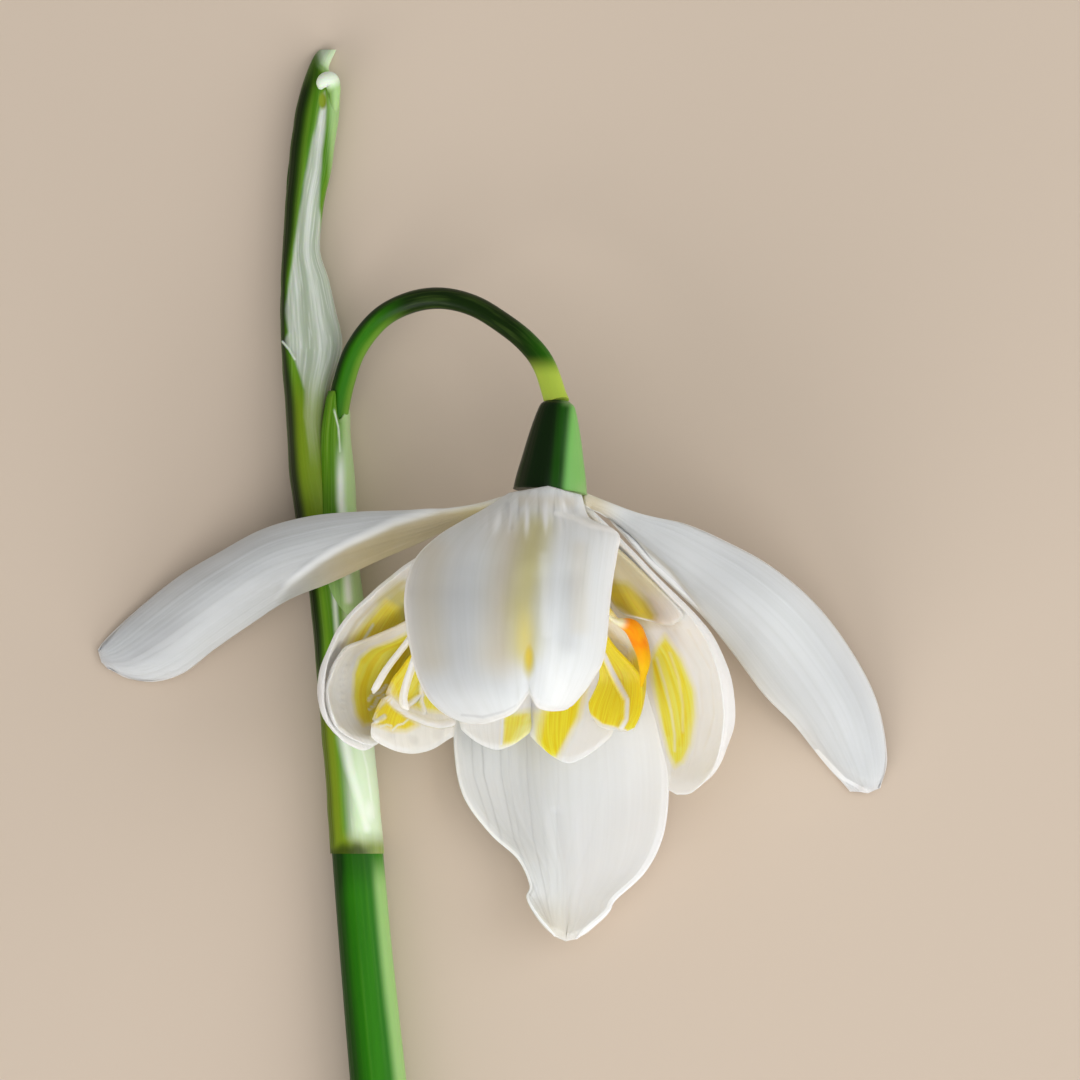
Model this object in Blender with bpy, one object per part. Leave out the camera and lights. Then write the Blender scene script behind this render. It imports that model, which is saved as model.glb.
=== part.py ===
"""A double snowdrop, cut with a length of its stem and laid on its back.

Blender 4.5, metres, +Z up. The flower hangs from an arched stalk (pedicel) that leaves a
sheathing bract (spathe) on top of the flowering stem (scape). +Y runs from the cut end of
the stem to the tip of the spathe, and +Z is up from the table it lies on.

Sizes are millimetres until place() turns them into metres. They are measured from the
receptacle, the point under the ovary where every flower segment is attached: x to the
right, y towards the spathe's tip, z up. A depth is a distance below the receptacle,
along the flower's own axis, which runs towards the cut end of the stem.
"""

import math

import bmesh
import bpy
from mathutils import Vector

for leftover in list(bpy.data.objects):
    bpy.data.objects.remove(leftover, do_unlink=True)

MM = 0.001
RECEPTACLE = Vector((3.45, 11.0, 11.0))  # from the middle of the object's base to the receptacle
TABLE = -RECEPTACLE.z  # height of the table, measured from the receptacle
SEAT = 0.3  # clearance between a piece and the one that carries it

AXIS_LEAN = 0.12  # how far the flower's axis drifts to -X for each millimetre of depth
CUP_FLATNESS = 0.8  # height of the cup of inner segments over its width
BLADE_BEND = math.radians(60)  # how far a blade's edges turn away from its middle
STEP = 0.01  # share of a curve's length over which its direction is measured

TEPAL_THICKNESS = 0.42
INNER_THICKNESS = 0.32
EXTRA_THICKNESS = 0.26
SPATHE_THICKNESS = 0.3

ROUND_TIP = [(0.84,), (0.94,), (0.985,), (1.0,), (0.985,), (0.94,), (0.84,)]
LEVEL_TIP = [(1.0,), (1.0,)]


def place(point):
    return (Vector(point) + RECEPTACLE) * MM


def between(stations, t):
    """The values at t, from 0 to 1, on one smooth curve through all the stations."""
    spans = len(stations) - 1
    i = min(int(min(max(t, 0.0), 1.0) * spans), spans - 1)
    f = min(max(t, 0.0), 1.0) * spans - i
    start, end = stations[i], stations[i + 1]
    before = stations[i - 1] if i else [2 * a - b for a, b in zip(start, end)]
    after = stations[i + 2] if i + 2 <= spans else [2 * b - a for a, b in zip(start, end)]
    return [
        b + 0.5 * f * (c - a + f * (2 * a - 5 * b + 4 * c - d + f * (3 * (b - c) + d - a)))
        for a, b, c, d in zip(before, start, end, after)
    ]


def material(name, colour, roughness):
    made = bpy.data.materials.new(name)
    made.use_nodes = True
    shader = made.node_tree.nodes["Principled BSDF"]
    shader.inputs["Base Color"].default_value = (*colour, 1.0)
    shader.inputs["Roughness"].default_value = roughness
    shader.inputs["Metallic"].default_value = 0.0
    return made


WHITE_TEPAL = material("white tepal", (0.72, 0.73, 0.70), 0.55)
YELLOW_SEGMENT = material("yellow-marked segment", (0.74, 0.62, 0.16), 0.55)
STEM_GREEN = material("stem green", (0.08, 0.22, 0.02), 0.4)
OVARY_GREEN = material("ovary green", (0.03, 0.12, 0.01), 0.35)
SPATHE_GREEN = material("spathe, green and papery", (0.35, 0.45, 0.22), 0.5)
POLLEN_ORANGE = material("anther orange", (0.85, 0.40, 0.01), 0.6)


def finish(name, bm, surface):
    """Turns the mesh being built into a named, smooth-shaded object."""
    bmesh.ops.recalc_face_normals(bm, faces=bm.faces)
    mesh = bpy.data.meshes.new(name)
    bm.to_mesh(mesh)
    bm.free()
    mesh.shade_smooth()
    mesh.materials.append(surface)
    made = bpy.data.objects.new(name, mesh)
    bpy.context.scene.collection.objects.link(made)
    return made


def thicken(made, thickness):
    skin = made.modifiers.new("Thickness", "SOLIDIFY")
    skin.thickness = thickness * MM
    skin.offset = 0.0


def leaf(name, surface_point, rows, columns, thickness, surface, tip=ROUND_TIP):
    """A thin closed leaf. surface_point(t, s) gives its middle layer, with t from the base
    to the tip and s from -1 to 1 across; tip shortens it, column by column."""
    bm = bmesh.new()
    bmesh.ops.create_grid(bm, x_segments=columns, y_segments=rows, size=1.0)
    for vert in bm.verts:
        s, t = vert.co.x, (vert.co.y + 1) / 2
        length = between(tip, (s + 1) / 2)[0]
        vert.co = place(surface_point(t * length, s))
    made = finish(name, bm, surface)
    thicken(made, thickness)
    return made


def blade(name, stations, thickness, surface, tip=LEVEL_TIP, rows=12, columns=6):
    """A leaf along its midrib. A station is three points: the midrib, the margin on the left
    as seen from above with the base up, and the margin on the right."""

    def point(t, s):
        values = between(stations, t)
        middle, left, right = Vector(values[:3]), Vector(values[3:6]), Vector(values[6:])
        margin = left if s > 0 else right
        out = math.sin(BLADE_BEND * abs(s)) / math.sin(BLADE_BEND)
        fall = (1 - math.cos(BLADE_BEND * s)) / (1 - math.cos(BLADE_BEND))
        flat = middle.lerp(margin, out)
        return Vector((flat.x, flat.y, middle.z + (margin.z - middle.z) * fall))

    return leaf(name, point, rows, columns, thickness, surface, tip)


def station(middle, left, right):
    return (*middle, *left, *right)


def on_cup(depth, radius, degrees):
    """A point of the flower's cup. 0 degrees is +X, 90 degrees is up, 270 is towards the table."""
    turn = math.radians(degrees)
    x = radius * math.cos(turn) - AXIS_LEAN * depth
    return Vector((x, -depth, CUP_FLATNESS * radius * math.sin(turn)))


def scoop(name, stations, thickness, surface=YELLOW_SEGMENT, tip=ROUND_TIP, rows=9, columns=5):
    """A leaf wrapped round the flower's axis. A station is its depth, its radius and the two
    directions, in degrees, between which it lies."""

    def point(t, s):
        depth, radius, first, last = between(stations, t)
        return on_cup(depth, radius, first + (last - first) * (s + 1) / 2)

    return leaf(name, point, rows, columns, thickness, surface, tip)


def rod(name, rings, sides, surface):
    """A closed solid through rings, each a centre and the two half axes of its ellipse."""
    bm = bmesh.new()
    loops = []
    for centre, half_u, half_v in rings:
        turns = [2 * math.pi * k / sides for k in range(sides)]
        loops.append(
            [
                bm.verts.new(place(centre + half_u * math.cos(a) + half_v * math.sin(a)))
                for a in turns
            ]
        )
    for lower, upper in zip(loops, loops[1:]):
        for k in range(sides):
            bm.faces.new((lower[k], lower[k - 1], upper[k - 1], upper[k]))
    bm.faces.new(loops[0])
    bm.faces.new(reversed(loops[-1]))
    return finish(name, bm, surface)


def stalk(name, route, radii, sides, points, surface):
    """A round rod along a smooth route, whose radius runs smoothly through radii."""
    rings = []
    for k in range(points):
        t = k / (points - 1)
        centre = Vector(between(route, t))
        step = Vector(between(route, t + STEP)) - Vector(between(route, t - STEP))
        side = step.cross(Vector((0, 0, 1))).normalized()
        up = side.cross(step).normalized()
        radius = between(radii, t)[0]
        rings.append((centre, side * radius, up * radius))
    return rod(name, rings, sides, surface)


# The scape: the solid flowering stem, from its cut end to the joint where the spathe grows.
SCAPE_TOP = -21.5
SCAPE_RADII = [(1.8,), (1.75,), (1.7,), (1.55,), (1.55,)]
SCAPE_MIDDLE = [(-9.15, -48.3), (-9.7, -42.0), (-10.35, -35.3), (-11.05, -28.0), (-11.6, SCAPE_TOP)]
scape_route = [
    (x, y, TABLE + radius[0]) for (x, y), radius in zip(SCAPE_MIDDLE, SCAPE_RADII)
]
stalk("scape", scape_route, SCAPE_RADII, 16, 9, STEM_GREEN)


# The spathe: a tube round the lower pedicel that opens on its right side, where the pedicel
# leaves it, and narrows upwards into a folded hood. A station is x, y, half width and half
# height of the tube; its underside lies on the table.
SPATHE = [
    (-11.62, SCAPE_TOP + SEAT, 1.55, 1.55),
    (-11.95, -17.3, 1.60, 1.56),
    (-12.50, -11.0, 1.52, 1.50),
    (-12.96, -6.0, 1.50, 1.48),
    (-13.50, -1.6, 1.75, 1.60),
    (-13.72, 1.0, 1.92, 1.66),
    (-14.02, 4.1, 1.95, 1.60),
    (-14.25, 6.8, 1.80, 1.50),
    (-14.35, 8.8, 1.80, 1.40),
    (-14.55, 10.8, 1.60, 1.25),
    (-14.95, 14.7, 1.12, 1.05),
    (-14.65, 18.6, 1.18, 0.95),
    (-14.10, 22.4, 1.25, 0.85),
    (-13.75, 24.6, 1.10, 0.75),
    (-13.50, 26.3, 0.75, 0.60),
]
SPATHE_SIDES = 16
SPATHE_ROWS = 28
MOUTH = 3.4  # y above which the tube is open
MOUTH_FROM, MOUTH_TO = -68, 60  # degrees; 0 is +X, 90 is up


def spathe():
    bm = bmesh.new()
    loops = []
    for row in range(SPATHE_ROWS + 1):
        x, y, half_width, half_height = between(SPATHE, row / SPATHE_ROWS)
        middle = Vector((x, y, TABLE + half_height + SPATHE_THICKNESS / 2))
        loop = []
        for k in range(SPATHE_SIDES):
            turn = 2 * math.pi * k / SPATHE_SIDES
            offset = Vector((half_width * math.cos(turn), 0, half_height * math.sin(turn)))
            loop.append(bm.verts.new(place(middle + offset)))
        loops.append(loop)
    for row, (lower, upper) in enumerate(zip(loops, loops[1:])):
        above_mouth = between(SPATHE, (row + 0.5) / SPATHE_ROWS)[1] > MOUTH
        for k in range(SPATHE_SIDES):
            degrees = (360 * (k - 0.5) / SPATHE_SIDES + 180) % 360 - 180
            if above_mouth and MOUTH_FROM < degrees < MOUTH_TO:
                continue
            bm.faces.new((lower[k - 1], lower[k], upper[k], upper[k - 1]))
    thicken(finish("spathe", bm, SPATHE_GREEN), SPATHE_THICKNESS)


spathe()


# The ovary: a small green cone. Its flat base carries a blunt receptacle for the segments.
NECK = Vector((0.47, 5.38, -0.5))
OVARY = [  # share of the height above the base, radius
    (-0.27, 0.2),
    (-0.22, 0.45),
    (-0.1, 0.68),
    (0.0, 0.75),
    (0.0, 2.1),
    (0.03, 2.2),
    (0.19, 2.07),
    (0.37, 1.86),
    (0.55, 1.64),
    (0.73, 1.41),
    (0.89, 1.16),
    (0.96, 0.98),
    (1.0, 0.75),
]
neck_side = NECK.cross(Vector((0, 0, 1))).normalized()
neck_up = neck_side.cross(NECK).normalized()
rod(
    "ovary",
    [(NECK * share, neck_side * radius, neck_up * radius) for share, radius in OVARY],
    20,
    OVARY_GREEN,
)


# The pedicel: the thin stalk, from the joint inside the spathe, out of its mouth and over in
# an arch down to the ovary's neck.
PEDICEL_RADII = [(0.6,), (0.62,), (0.66,), (0.66,), (0.64,), (0.66,)]
PEDICEL = [
    (-11.75, SCAPE_TOP + SEAT, -9.35),
    (-12.15, -16.0, -9.35),
    (-12.7, -9.0, -9.35),
    (-13.1, -3.0, -9.3),
    (-13.2, 1.5, -9.2),
    (-13.05, 4.2, -9.05),
    (-12.45, 6.6, -8.75),
    (-11.65, 8.65, -8.2),
    (-10.2, 10.45, -7.4),
    (-8.4, 11.4, -6.4),
    (-6.5, 11.65, -5.3),
    (-4.6, 11.2, -4.2),
    (-2.9, 10.2, -3.2),
    (-1.4, 9.0, -2.3),
    (-0.35, 7.6, -1.5),
    (0.38, NECK.y + 1.5 * SEAT, -0.75),
]
stalk("pedicel", PEDICEL, PEDICEL_RADII, 10, 40, STEM_GREEN)


# The three outer tepals: long white blades. The left one crosses over the stem, the left and
# right ones droop to the table with their outer side up, and the back one lies under the
# flower with its inner side up.
blade(
    "outer_tepal_left",
    [
        station((-1.95, -0.5, 0.0), (-2.0, -0.8, -0.1), (-2.0, -0.2, -0.1)),
        station((-4.6, -1.05, -0.75), (-4.6, -1.38, -0.85), (-4.62, -0.78, -0.85)),
        station((-7.65, -1.85, -1.9), (-7.3, -2.75, -2.2), (-7.98, -1.14, -2.2)),
        station((-10.9, -2.6, -3.1), (-10.3, -4.05, -4.0), (-11.4, -1.24, -3.9)),
        station((-13.8, -3.4, -4.2), (-13.2, -5.4, -5.6), (-14.4, -1.5, -5.5)),
        station((-16.5, -4.25, -5.3), (-15.7, -6.4, -7.0), (-17.2, -2.25, -7.0)),
        station((-19.0, -5.7, -6.45), (-18.1, -7.95, -8.4), (-19.8, -3.62, -8.4)),
        station((-21.3, -7.35, -7.7), (-20.2, -9.4, -9.6), (-22.3, -5.1, -9.6)),
        station((-23.5, -8.9, -8.95), (-22.2, -10.9, -10.4), (-24.7, -7.0, -10.4)),
        station((-25.4, -10.0, -9.95), (-24.3, -11.36, -10.7), (-26.5, -8.65, -10.7)),
        station((-27.0, -10.2, -10.6), (-26.6, -10.7, -10.75), (-27.25, -9.4, -10.75)),
    ],
    TEPAL_THICKNESS,
    WHITE_TEPAL,
)
blade(
    "outer_tepal_right",
    [
        station((2.0, -0.62, 0.0), (2.1, -0.95, -0.1), (2.05, -0.4, -0.1)),
        station((3.4, -0.95, -0.5), (3.2, -1.28, -0.6), (3.5, -0.72, -0.6)),
        station((5.0, -1.85, -1.2), (4.3, -2.3, -1.5), (5.6, -1.42, -1.45)),
        station((6.9, -3.0, -1.95), (5.75, -4.1, -2.7), (8.1, -1.94, -2.6)),
        station((9.0, -4.4, -2.9), (7.5, -5.8, -4.1), (10.6, -3.02, -4.0)),
        station((11.3, -6.1, -4.0), (9.4, -7.65, -5.7), (13.15, -4.42, -5.6)),
        station((13.5, -8.1, -5.2), (11.1, -9.75, -7.3), (15.75, -6.55, -7.2)),
        station((15.6, -10.7, -6.7), (12.9, -12.15, -8.8), (17.95, -9.35, -8.7)),
        station((17.3, -13.5, -8.3), (14.7, -13.95, -9.9), (19.6, -12.5, -9.9)),
        station((18.35, -16.0, -9.6), (16.3, -15.9, -10.5), (20.25, -15.9, -10.5)),
        station((19.15, -18.2, -10.5), (18.1, -18.2, -10.75), (19.9, -17.8, -10.75)),
    ],
    TEPAL_THICKNESS,
    WHITE_TEPAL,
)
blade(
    "outer_tepal_back",
    [
        station((0.0, -0.8, -1.75), (0.6, -0.8, -1.7), (-0.6, -0.8, -1.7)),
        station((0.05, -2.3, -4.6), (1.7, -2.3, -4.4), (-1.6, -2.3, -4.4)),
        station((0.1, -5.1, -7.8), (3.4, -5.1, -7.3), (-3.2, -5.1, -7.3)),
        station((0.2, -8.6, -9.8), (5.0, -8.6, -9.0), (-4.7, -8.6, -9.0)),
        station((0.4, -12.1, -10.5), (6.2, -12.1, -9.3), (-5.6, -12.1, -9.3)),
        station((0.6, -15.4, -10.75), (6.95, -15.4, -9.2), (-5.76, -15.3, -9.2)),
        station((0.75, -18.2, -10.65), (7.12, -18.2, -9.0), (-5.22, -18.2, -9.0)),
        station((0.95, -20.8, -10.25), (6.75, -20.8, -8.8), (-3.6, -20.5, -8.8)),
        station((1.2, -22.9, -9.75), (5.7, -22.85, -8.6), (-1.95, -22.0, -8.7)),
        station((1.15, -24.6, -9.2), (4.3, -24.3, -8.4), (-1.38, -23.7, -8.4)),
        station((1.05, -26.0, -8.6), (3.2, -25.5, -8.1), (-0.95, -25.3, -8.1)),
        station((0.95, -27.0, -8.1), (1.7, -26.8, -7.9), (0.2, -26.65, -7.9)),
    ],
    TEPAL_THICKNESS,
    WHITE_TEPAL,
    columns=8,
)


# The three inner tepals: the front one is a broad notched shield on top of the flower, and
# the left and right ones are deep scoops whose inner sides show on either side of it.
blade(
    "inner_tepal_front",
    [
        station((-0.1, -0.35, 2.2), (-2.4, -0.55, 1.2), (1.85, -0.6, 1.4)),
        station((-0.25, -1.2, 3.6), (-4.2, -1.35, 2.0), (2.4, -1.75, 2.2)),
        station((-0.45, -2.2, 5.2), (-6.48, -2.52, 2.9), (4.05, -2.5, 3.0)),
        station((-0.6, -3.6, 6.9), (-8.1, -4.1, 3.9), (3.98, -3.75, 4.0)),
        station((-0.75, -5.2, 8.1), (-8.67, -6.0, 4.9), (3.72, -5.3, 5.0)),
        station((-0.9, -6.9, 8.9), (-8.6, -7.9, 5.7), (3.5, -7.0, 5.8)),
        station((-1.05, -8.5, 9.2), (-8.25, -9.6, 6.2), (3.3, -8.8, 6.3)),
        station((-1.15, -10.0, 9.2), (-7.6, -11.2, 6.5), (3.0, -10.4, 6.6)),
        station((-1.2, -11.3, 8.95), (-6.6, -12.45, 6.5), (2.45, -11.65, 6.6)),
        station((-1.27, -12.6, 8.5), (-5.4, -13.35, 6.3), (1.7, -12.6, 6.4)),
        station((-1.3, -13.9, 7.8), (-3.9, -13.85, 6.2), (0.7, -13.15, 6.3)),
    ],
    TEPAL_THICKNESS,
    WHITE_TEPAL,
    tip=[(1.0,), (0.96,), (0.937,), (0.93,), (0.855,), (0.99,), (1.0,), (1.0,), (1.0,)],
    columns=10,
)
scoop(
    "inner_tepal_left",
    [
        (0.75, 1.45, 202, 226),
        (1.95, 3.7, 186, 232),
        (4.1, 7.5, 174, 240),
        (7.0, 10.6, 166, 245),
        (9.4, 11.9, 163, 247),
        (11.5, 12.35, 162, 246),
        (13.6, 11.7, 165, 240),
        (15.5, 10.0, 175, 226),
    ],
    INNER_THICKNESS,
    rows=11,
    columns=8,
)
scoop(
    "inner_tepal_right",
    [
        (0.75, 1.45, 314, 338),
        (2.6, 3.45, 306, 352),
        (5.3, 6.9, 299, 368),
        (7.8, 10.0, 300, 374),
        (10.1, 11.6, 304, 377),
        (13.0, 12.4, 308, 377),
        (15.8, 12.05, 317, 371),
        (18.2, 10.2, 331, 356),
    ],
    INNER_THICKNESS,
    rows=12,
    columns=8,
)


# The extra segments of the double flower, smaller and inside the inner tepals.
scoop(
    "extra_left_spoon",
    [
        (1.0, 1.0, 218, 232),
        (2.7, 3.4, 218, 238),
        (4.5, 6.1, 219, 242),
        (7.0, 9.2, 219, 243),
        (8.6, 10.5, 209, 243),
        (9.8, 11.1, 188, 243),
        (12.0, 11.5, 176, 243),
        (14.0, 10.5, 178, 240),
        (15.2, 9.3, 188, 220),
    ],
    EXTRA_THICKNESS,
    columns=7,
)
scoop(
    "extra_left_curled",
    [
        (1.6, 1.05, 238, 252),
        (3.3, 3.0, 234, 247),
        (6.0, 7.0, 228, 244),
        (9.0, 9.5, 220, 245),
        (12.0, 10.3, 213, 245),
        (14.1, 9.4, 200, 244),
        (15.5, 8.5, 199, 243),
        (15.6, 7.2, 203, 240),
        (14.6, 6.5, 210, 235),
    ],
    EXTRA_THICKNESS,
    rows=12,
    columns=6,
)
scoop(
    "extra_back_white",
    [
        (0.7, 1.15, 256, 268),
        (3.0, 3.9, 251, 273),
        (6.0, 7.3, 249, 275),
        (9.0, 9.9, 248, 275),
        (12.0, 10.9, 248, 275),
        (14.2, 10.7, 250, 274),
        (15.5, 10.1, 254, 271),
    ],
    EXTRA_THICKNESS,
)
scoop(
    "extra_back_yellow",
    [
        (0.7, 1.15, 284, 296),
        (3.0, 3.9, 279, 297),
        (6.0, 7.3, 278, 298),
        (9.0, 9.9, 278, 300),
        (12.0, 10.9, 278, 302),
        (14.6, 10.6, 279, 301),
        (16.2, 9.9, 283, 297),
    ],
    EXTRA_THICKNESS,
)
scoop(
    "extra_fan",
    [
        (1.4, 1.05, 290, 302),
        (3.2, 2.6, 293, 303),
        (6.2, 4.9, 295, 304),
        (9.0, 7.9, 296, 307),
        (11.0, 9.8, 296, 313),
        (13.0, 10.0, 292, 315),
        (14.4, 9.6, 293, 314),
    ],
    EXTRA_THICKNESS,
)
scoop(
    "extra_right_narrow",
    [
        (1.0, 1.1, 312, 324),
        (3.5, 2.8, 310, 319),
        (6.3, 5.4, 307, 316),
        (8.3, 8.0, 303, 313),
        (9.7, 10.0, 303, 311.5),
        (11.5, 10.8, 304, 311.5),
        (13.3, 10.8, 307, 311),
        (14.4, 10.6, 308.5, 310.5),
    ],
    EXTRA_THICKNESS,
    columns=4,
)
scoop(
    "extra_right_short",
    [
        (1.0, 1.0, 336, 350),
        (2.5, 2.4, 327, 350),
        (4.0, 4.3, 312, 355),
        (6.0, 6.7, 305, 357),
        (7.2, 8.1, 306, 355),
        (8.0, 8.8, 318, 345),
    ],
    EXTRA_THICKNESS,
    columns=7,
)
scoop(
    "extra_front_right",
    [
        (0.9, 1.1, 66, 80),
        (3.0, 2.7, 62, 84),
        (6.0, 5.6, 60, 85),
        (9.0, 7.0, 60, 86),
        (11.5, 7.2, 62, 84),
        (12.8, 6.9, 66, 80),
    ],
    EXTRA_THICKNESS,
)
scoop(
    "extra_front_left",
    [
        (0.9, 1.0, 112, 126),
        (3.0, 3.6, 104, 130),
        (6.0, 6.7, 100, 130),
        (9.0, 8.3, 100, 129),
        (11.5, 8.6, 103, 127),
        (13.0, 8.2, 109, 122),
    ],
    EXTRA_THICKNESS,
)
STRAPS = [
    [
        (1.3, 1.05, 180, 193),
        (3.5, 3.6, 188, 198),
        (6.5, 6.6, 191, 199),
        (8.9, 8.3, 194, 202),
        (12.2, 10.1, 196, 204),
    ],
    [
        (1.6, 1.1, 206, 220),
        (4.0, 3.8, 206, 216),
        (7.0, 6.4, 206, 214),
        (10.1, 8.3, 207, 215),
        (12.9, 9.0, 209, 216),
    ],
    [
        (1.3, 1.05, 150, 163),
        (4.0, 3.2, 170, 180),
        (8.0, 6.3, 180, 188),
        (11.6, 8.4, 186, 193),
        (13.3, 8.9, 187, 193),
    ],
]
for number, stations in enumerate(STRAPS, start=1):
    scoop(f"extra_strap_{number}", stations, EXTRA_THICKNESS, rows=7, columns=2)


# Six stamens, each a short filament under a pointed anther, and the style between them.
STAMEN_RADII = [(0.14,), (0.15,), (0.34,), (0.5,), (0.44,), (0.1,)]
CLOSE_STAMEN = [(1.9, 0.6), (3.6, 1.1), (5.3, 1.8), (7.0, 2.4), (8.7, 2.9), (10.3, 3.2)]
SPLAYED_STAMEN = [(1.9, 0.6), (3.6, 2.2), (6.0, 4.6), (8.0, 5.9), (10.0, 6.4), (12.0, 6.5)]
STAMEN_TURN = 340  # degrees; the first stamen's direction
for number in range(6):
    profile = CLOSE_STAMEN if number else SPLAYED_STAMEN
    turn = STAMEN_TURN + 60 * number
    route = [on_cup(depth, radius, turn) for depth, radius in profile]
    stalk(f"stamen_{number + 1}", route, STAMEN_RADII, 6, 8, POLLEN_ORANGE)

STYLE_RADII = [(0.2,), (0.22,), (0.2,), (0.16,)]
style_route = [on_cup(depth, 0.0, 0) for depth in (1.85, 4.0, 7.0, 9.5)]
stalk("style", style_route, STYLE_RADII, 6, 4, WHITE_TEPAL)
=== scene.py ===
"""A cut double snowdrop, lying on its back on a pale table top.

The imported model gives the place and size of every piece, and each section below makes the
fine piece that stands for one of its nodes, from the cut end of the stem to the stamens.
Lengths are millimetres from the receptacle, the point under the ovary where every segment
of the flower grows: x to the right, y towards the spathe's tip, z up from the table.
"""

import math

import bpy
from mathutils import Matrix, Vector, noise


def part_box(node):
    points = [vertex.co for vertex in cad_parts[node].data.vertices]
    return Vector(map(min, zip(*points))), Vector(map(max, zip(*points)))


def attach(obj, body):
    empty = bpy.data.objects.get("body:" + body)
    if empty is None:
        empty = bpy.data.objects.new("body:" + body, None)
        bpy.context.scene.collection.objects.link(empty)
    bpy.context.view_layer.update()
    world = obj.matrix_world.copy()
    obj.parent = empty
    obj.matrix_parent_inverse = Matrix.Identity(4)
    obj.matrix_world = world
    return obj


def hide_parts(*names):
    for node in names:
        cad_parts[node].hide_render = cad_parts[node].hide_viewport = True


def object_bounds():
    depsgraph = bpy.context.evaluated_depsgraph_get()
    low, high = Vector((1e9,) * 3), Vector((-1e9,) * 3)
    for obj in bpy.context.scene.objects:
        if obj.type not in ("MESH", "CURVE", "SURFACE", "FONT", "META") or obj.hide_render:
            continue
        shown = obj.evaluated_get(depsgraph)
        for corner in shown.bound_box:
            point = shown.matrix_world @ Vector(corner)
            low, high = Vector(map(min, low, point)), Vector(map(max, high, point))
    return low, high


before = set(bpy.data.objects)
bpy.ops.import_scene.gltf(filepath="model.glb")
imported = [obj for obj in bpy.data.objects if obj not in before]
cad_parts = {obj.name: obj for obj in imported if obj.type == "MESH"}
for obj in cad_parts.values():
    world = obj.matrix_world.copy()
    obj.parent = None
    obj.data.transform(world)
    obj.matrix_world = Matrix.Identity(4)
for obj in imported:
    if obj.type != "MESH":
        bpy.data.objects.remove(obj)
cad_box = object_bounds()


# ---- The scape -------------------------------------------------------------------------
# The solid flowering stem: moist green tissue in a waxy skin with fine lengthwise ribs. It
# is cut straight across at its lower end, where paler pith shows, and lies on the table.
MM = 0.001
ovary_low, ovary_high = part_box("ovary")
OVARY_TO_RECEPTACLE = (-0.014, -1.998, 0.015)
RECEPTACLE = (ovary_low + ovary_high) / 2 + Vector(OVARY_TO_RECEPTACLE) * MM
TABLE = (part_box("scape")[0].z - RECEPTACLE.z) / MM


def place(point):
    return RECEPTACLE + Vector(point) * MM


def between(stations, t):
    """The values at t, from 0 to 1, on one smooth curve through all the stations."""
    spans = len(stations) - 1
    i = min(int(min(max(t, 0.0), 1.0) * spans), spans - 1)
    f = min(max(t, 0.0), 1.0) * spans - i
    start, end = stations[i], stations[i + 1]
    before = stations[i - 1] if i else [2 * a - b for a, b in zip(start, end)]
    after = stations[i + 2] if i + 2 <= spans else [2 * b - a for a, b in zip(start, end)]
    return [
        b + 0.5 * f * (c - a + f * (2 * a - 5 * b + 4 * c - d + f * (3 * (b - c) + d - a)))
        for a, b, c, d in zip(before, start, end, after)
    ]


def value_at(values, t):
    """The same for one plain number at each station."""
    return between([(value,) for value in values], t)[0]


def smooth(low, high, value):
    """0 below low, 1 above high, and a soft step between them. low may be above high."""
    t = min(max((value - low) / (high - low), 0.0), 1.0)
    return t * t * (3 - 2 * t)


def ripple(*place_and_seed):
    """Smooth noise from about -1 to 1."""
    return noise.noise(Vector(place_and_seed))


def line(route, width, soft=0.4, share=1.0):
    """Paints a stroke seen from above along (x, y) points. soft is the share of its width
    that fades out. The point comes last in what paint is given."""

    def paint(*at):
        point = at[-1]
        nearest = 1e9
        for (x0, y0), (x1, y1) in zip(route, route[1:]):
            dx, dy = x1 - x0, y1 - y0
            along = ((point[0] - x0) * dx + (point[1] - y0) * dy) / (dx * dx + dy * dy)
            along = min(max(along, 0.0), 1.0)
            away = math.hypot(point[0] - x0 - along * dx, point[1] - y0 - along * dy)
            nearest = min(nearest, away)
        return share * smooth(width / 2, width / 2 * (1 - soft), nearest)

    return paint


def spot(centre, half_x, half_y, turn=0.0, soft=0.5, share=1.0):
    """Paints an ellipse seen from above, turned by turn degrees, that fades at its edge."""
    cos, sin = math.cos(math.radians(turn)), math.sin(math.radians(turn))

    def paint(*at):
        x, y = at[-1][0] - centre[0], at[-1][1] - centre[1]
        reach = math.hypot((x * cos + y * sin) / half_x, (y * cos - x * sin) / half_y)
        return share * smooth(1.0, 1.0 - soft, reach)

    return paint


def patch(outline, soft=0.3, share=1.0):
    """Paints the inside of a closed outline seen from above. soft is how wide its edge is."""
    border = line(outline + outline[:1], 2 * soft, 1.0)

    def paint(*at):
        x, y = at[-1][0], at[-1][1]
        inside = False
        for (x0, y0), (x1, y1) in zip(outline, outline[1:] + outline[:1]):
            if (y0 > y) != (y1 > y) and x < x0 + (x1 - x0) * (y - y0) / (y1 - y0):
                inside = not inside
        near = 0.5 * border(*at)
        return share * (1 - near if inside else near)

    return paint


def edge_x(stations, y):
    """The x at height y on a border of (y, x) stations that run upwards."""
    for (y0, x0), (y1, x1) in zip(stations, stations[1:]):
        if y <= y1:
            break
    return x0 + (x1 - x0) * min(max((y - y0) / (y1 - y0), 0.0), 1.0)


def strongest(*shapes):
    return lambda *at: max(shape(*at) for shape in shapes)


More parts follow.
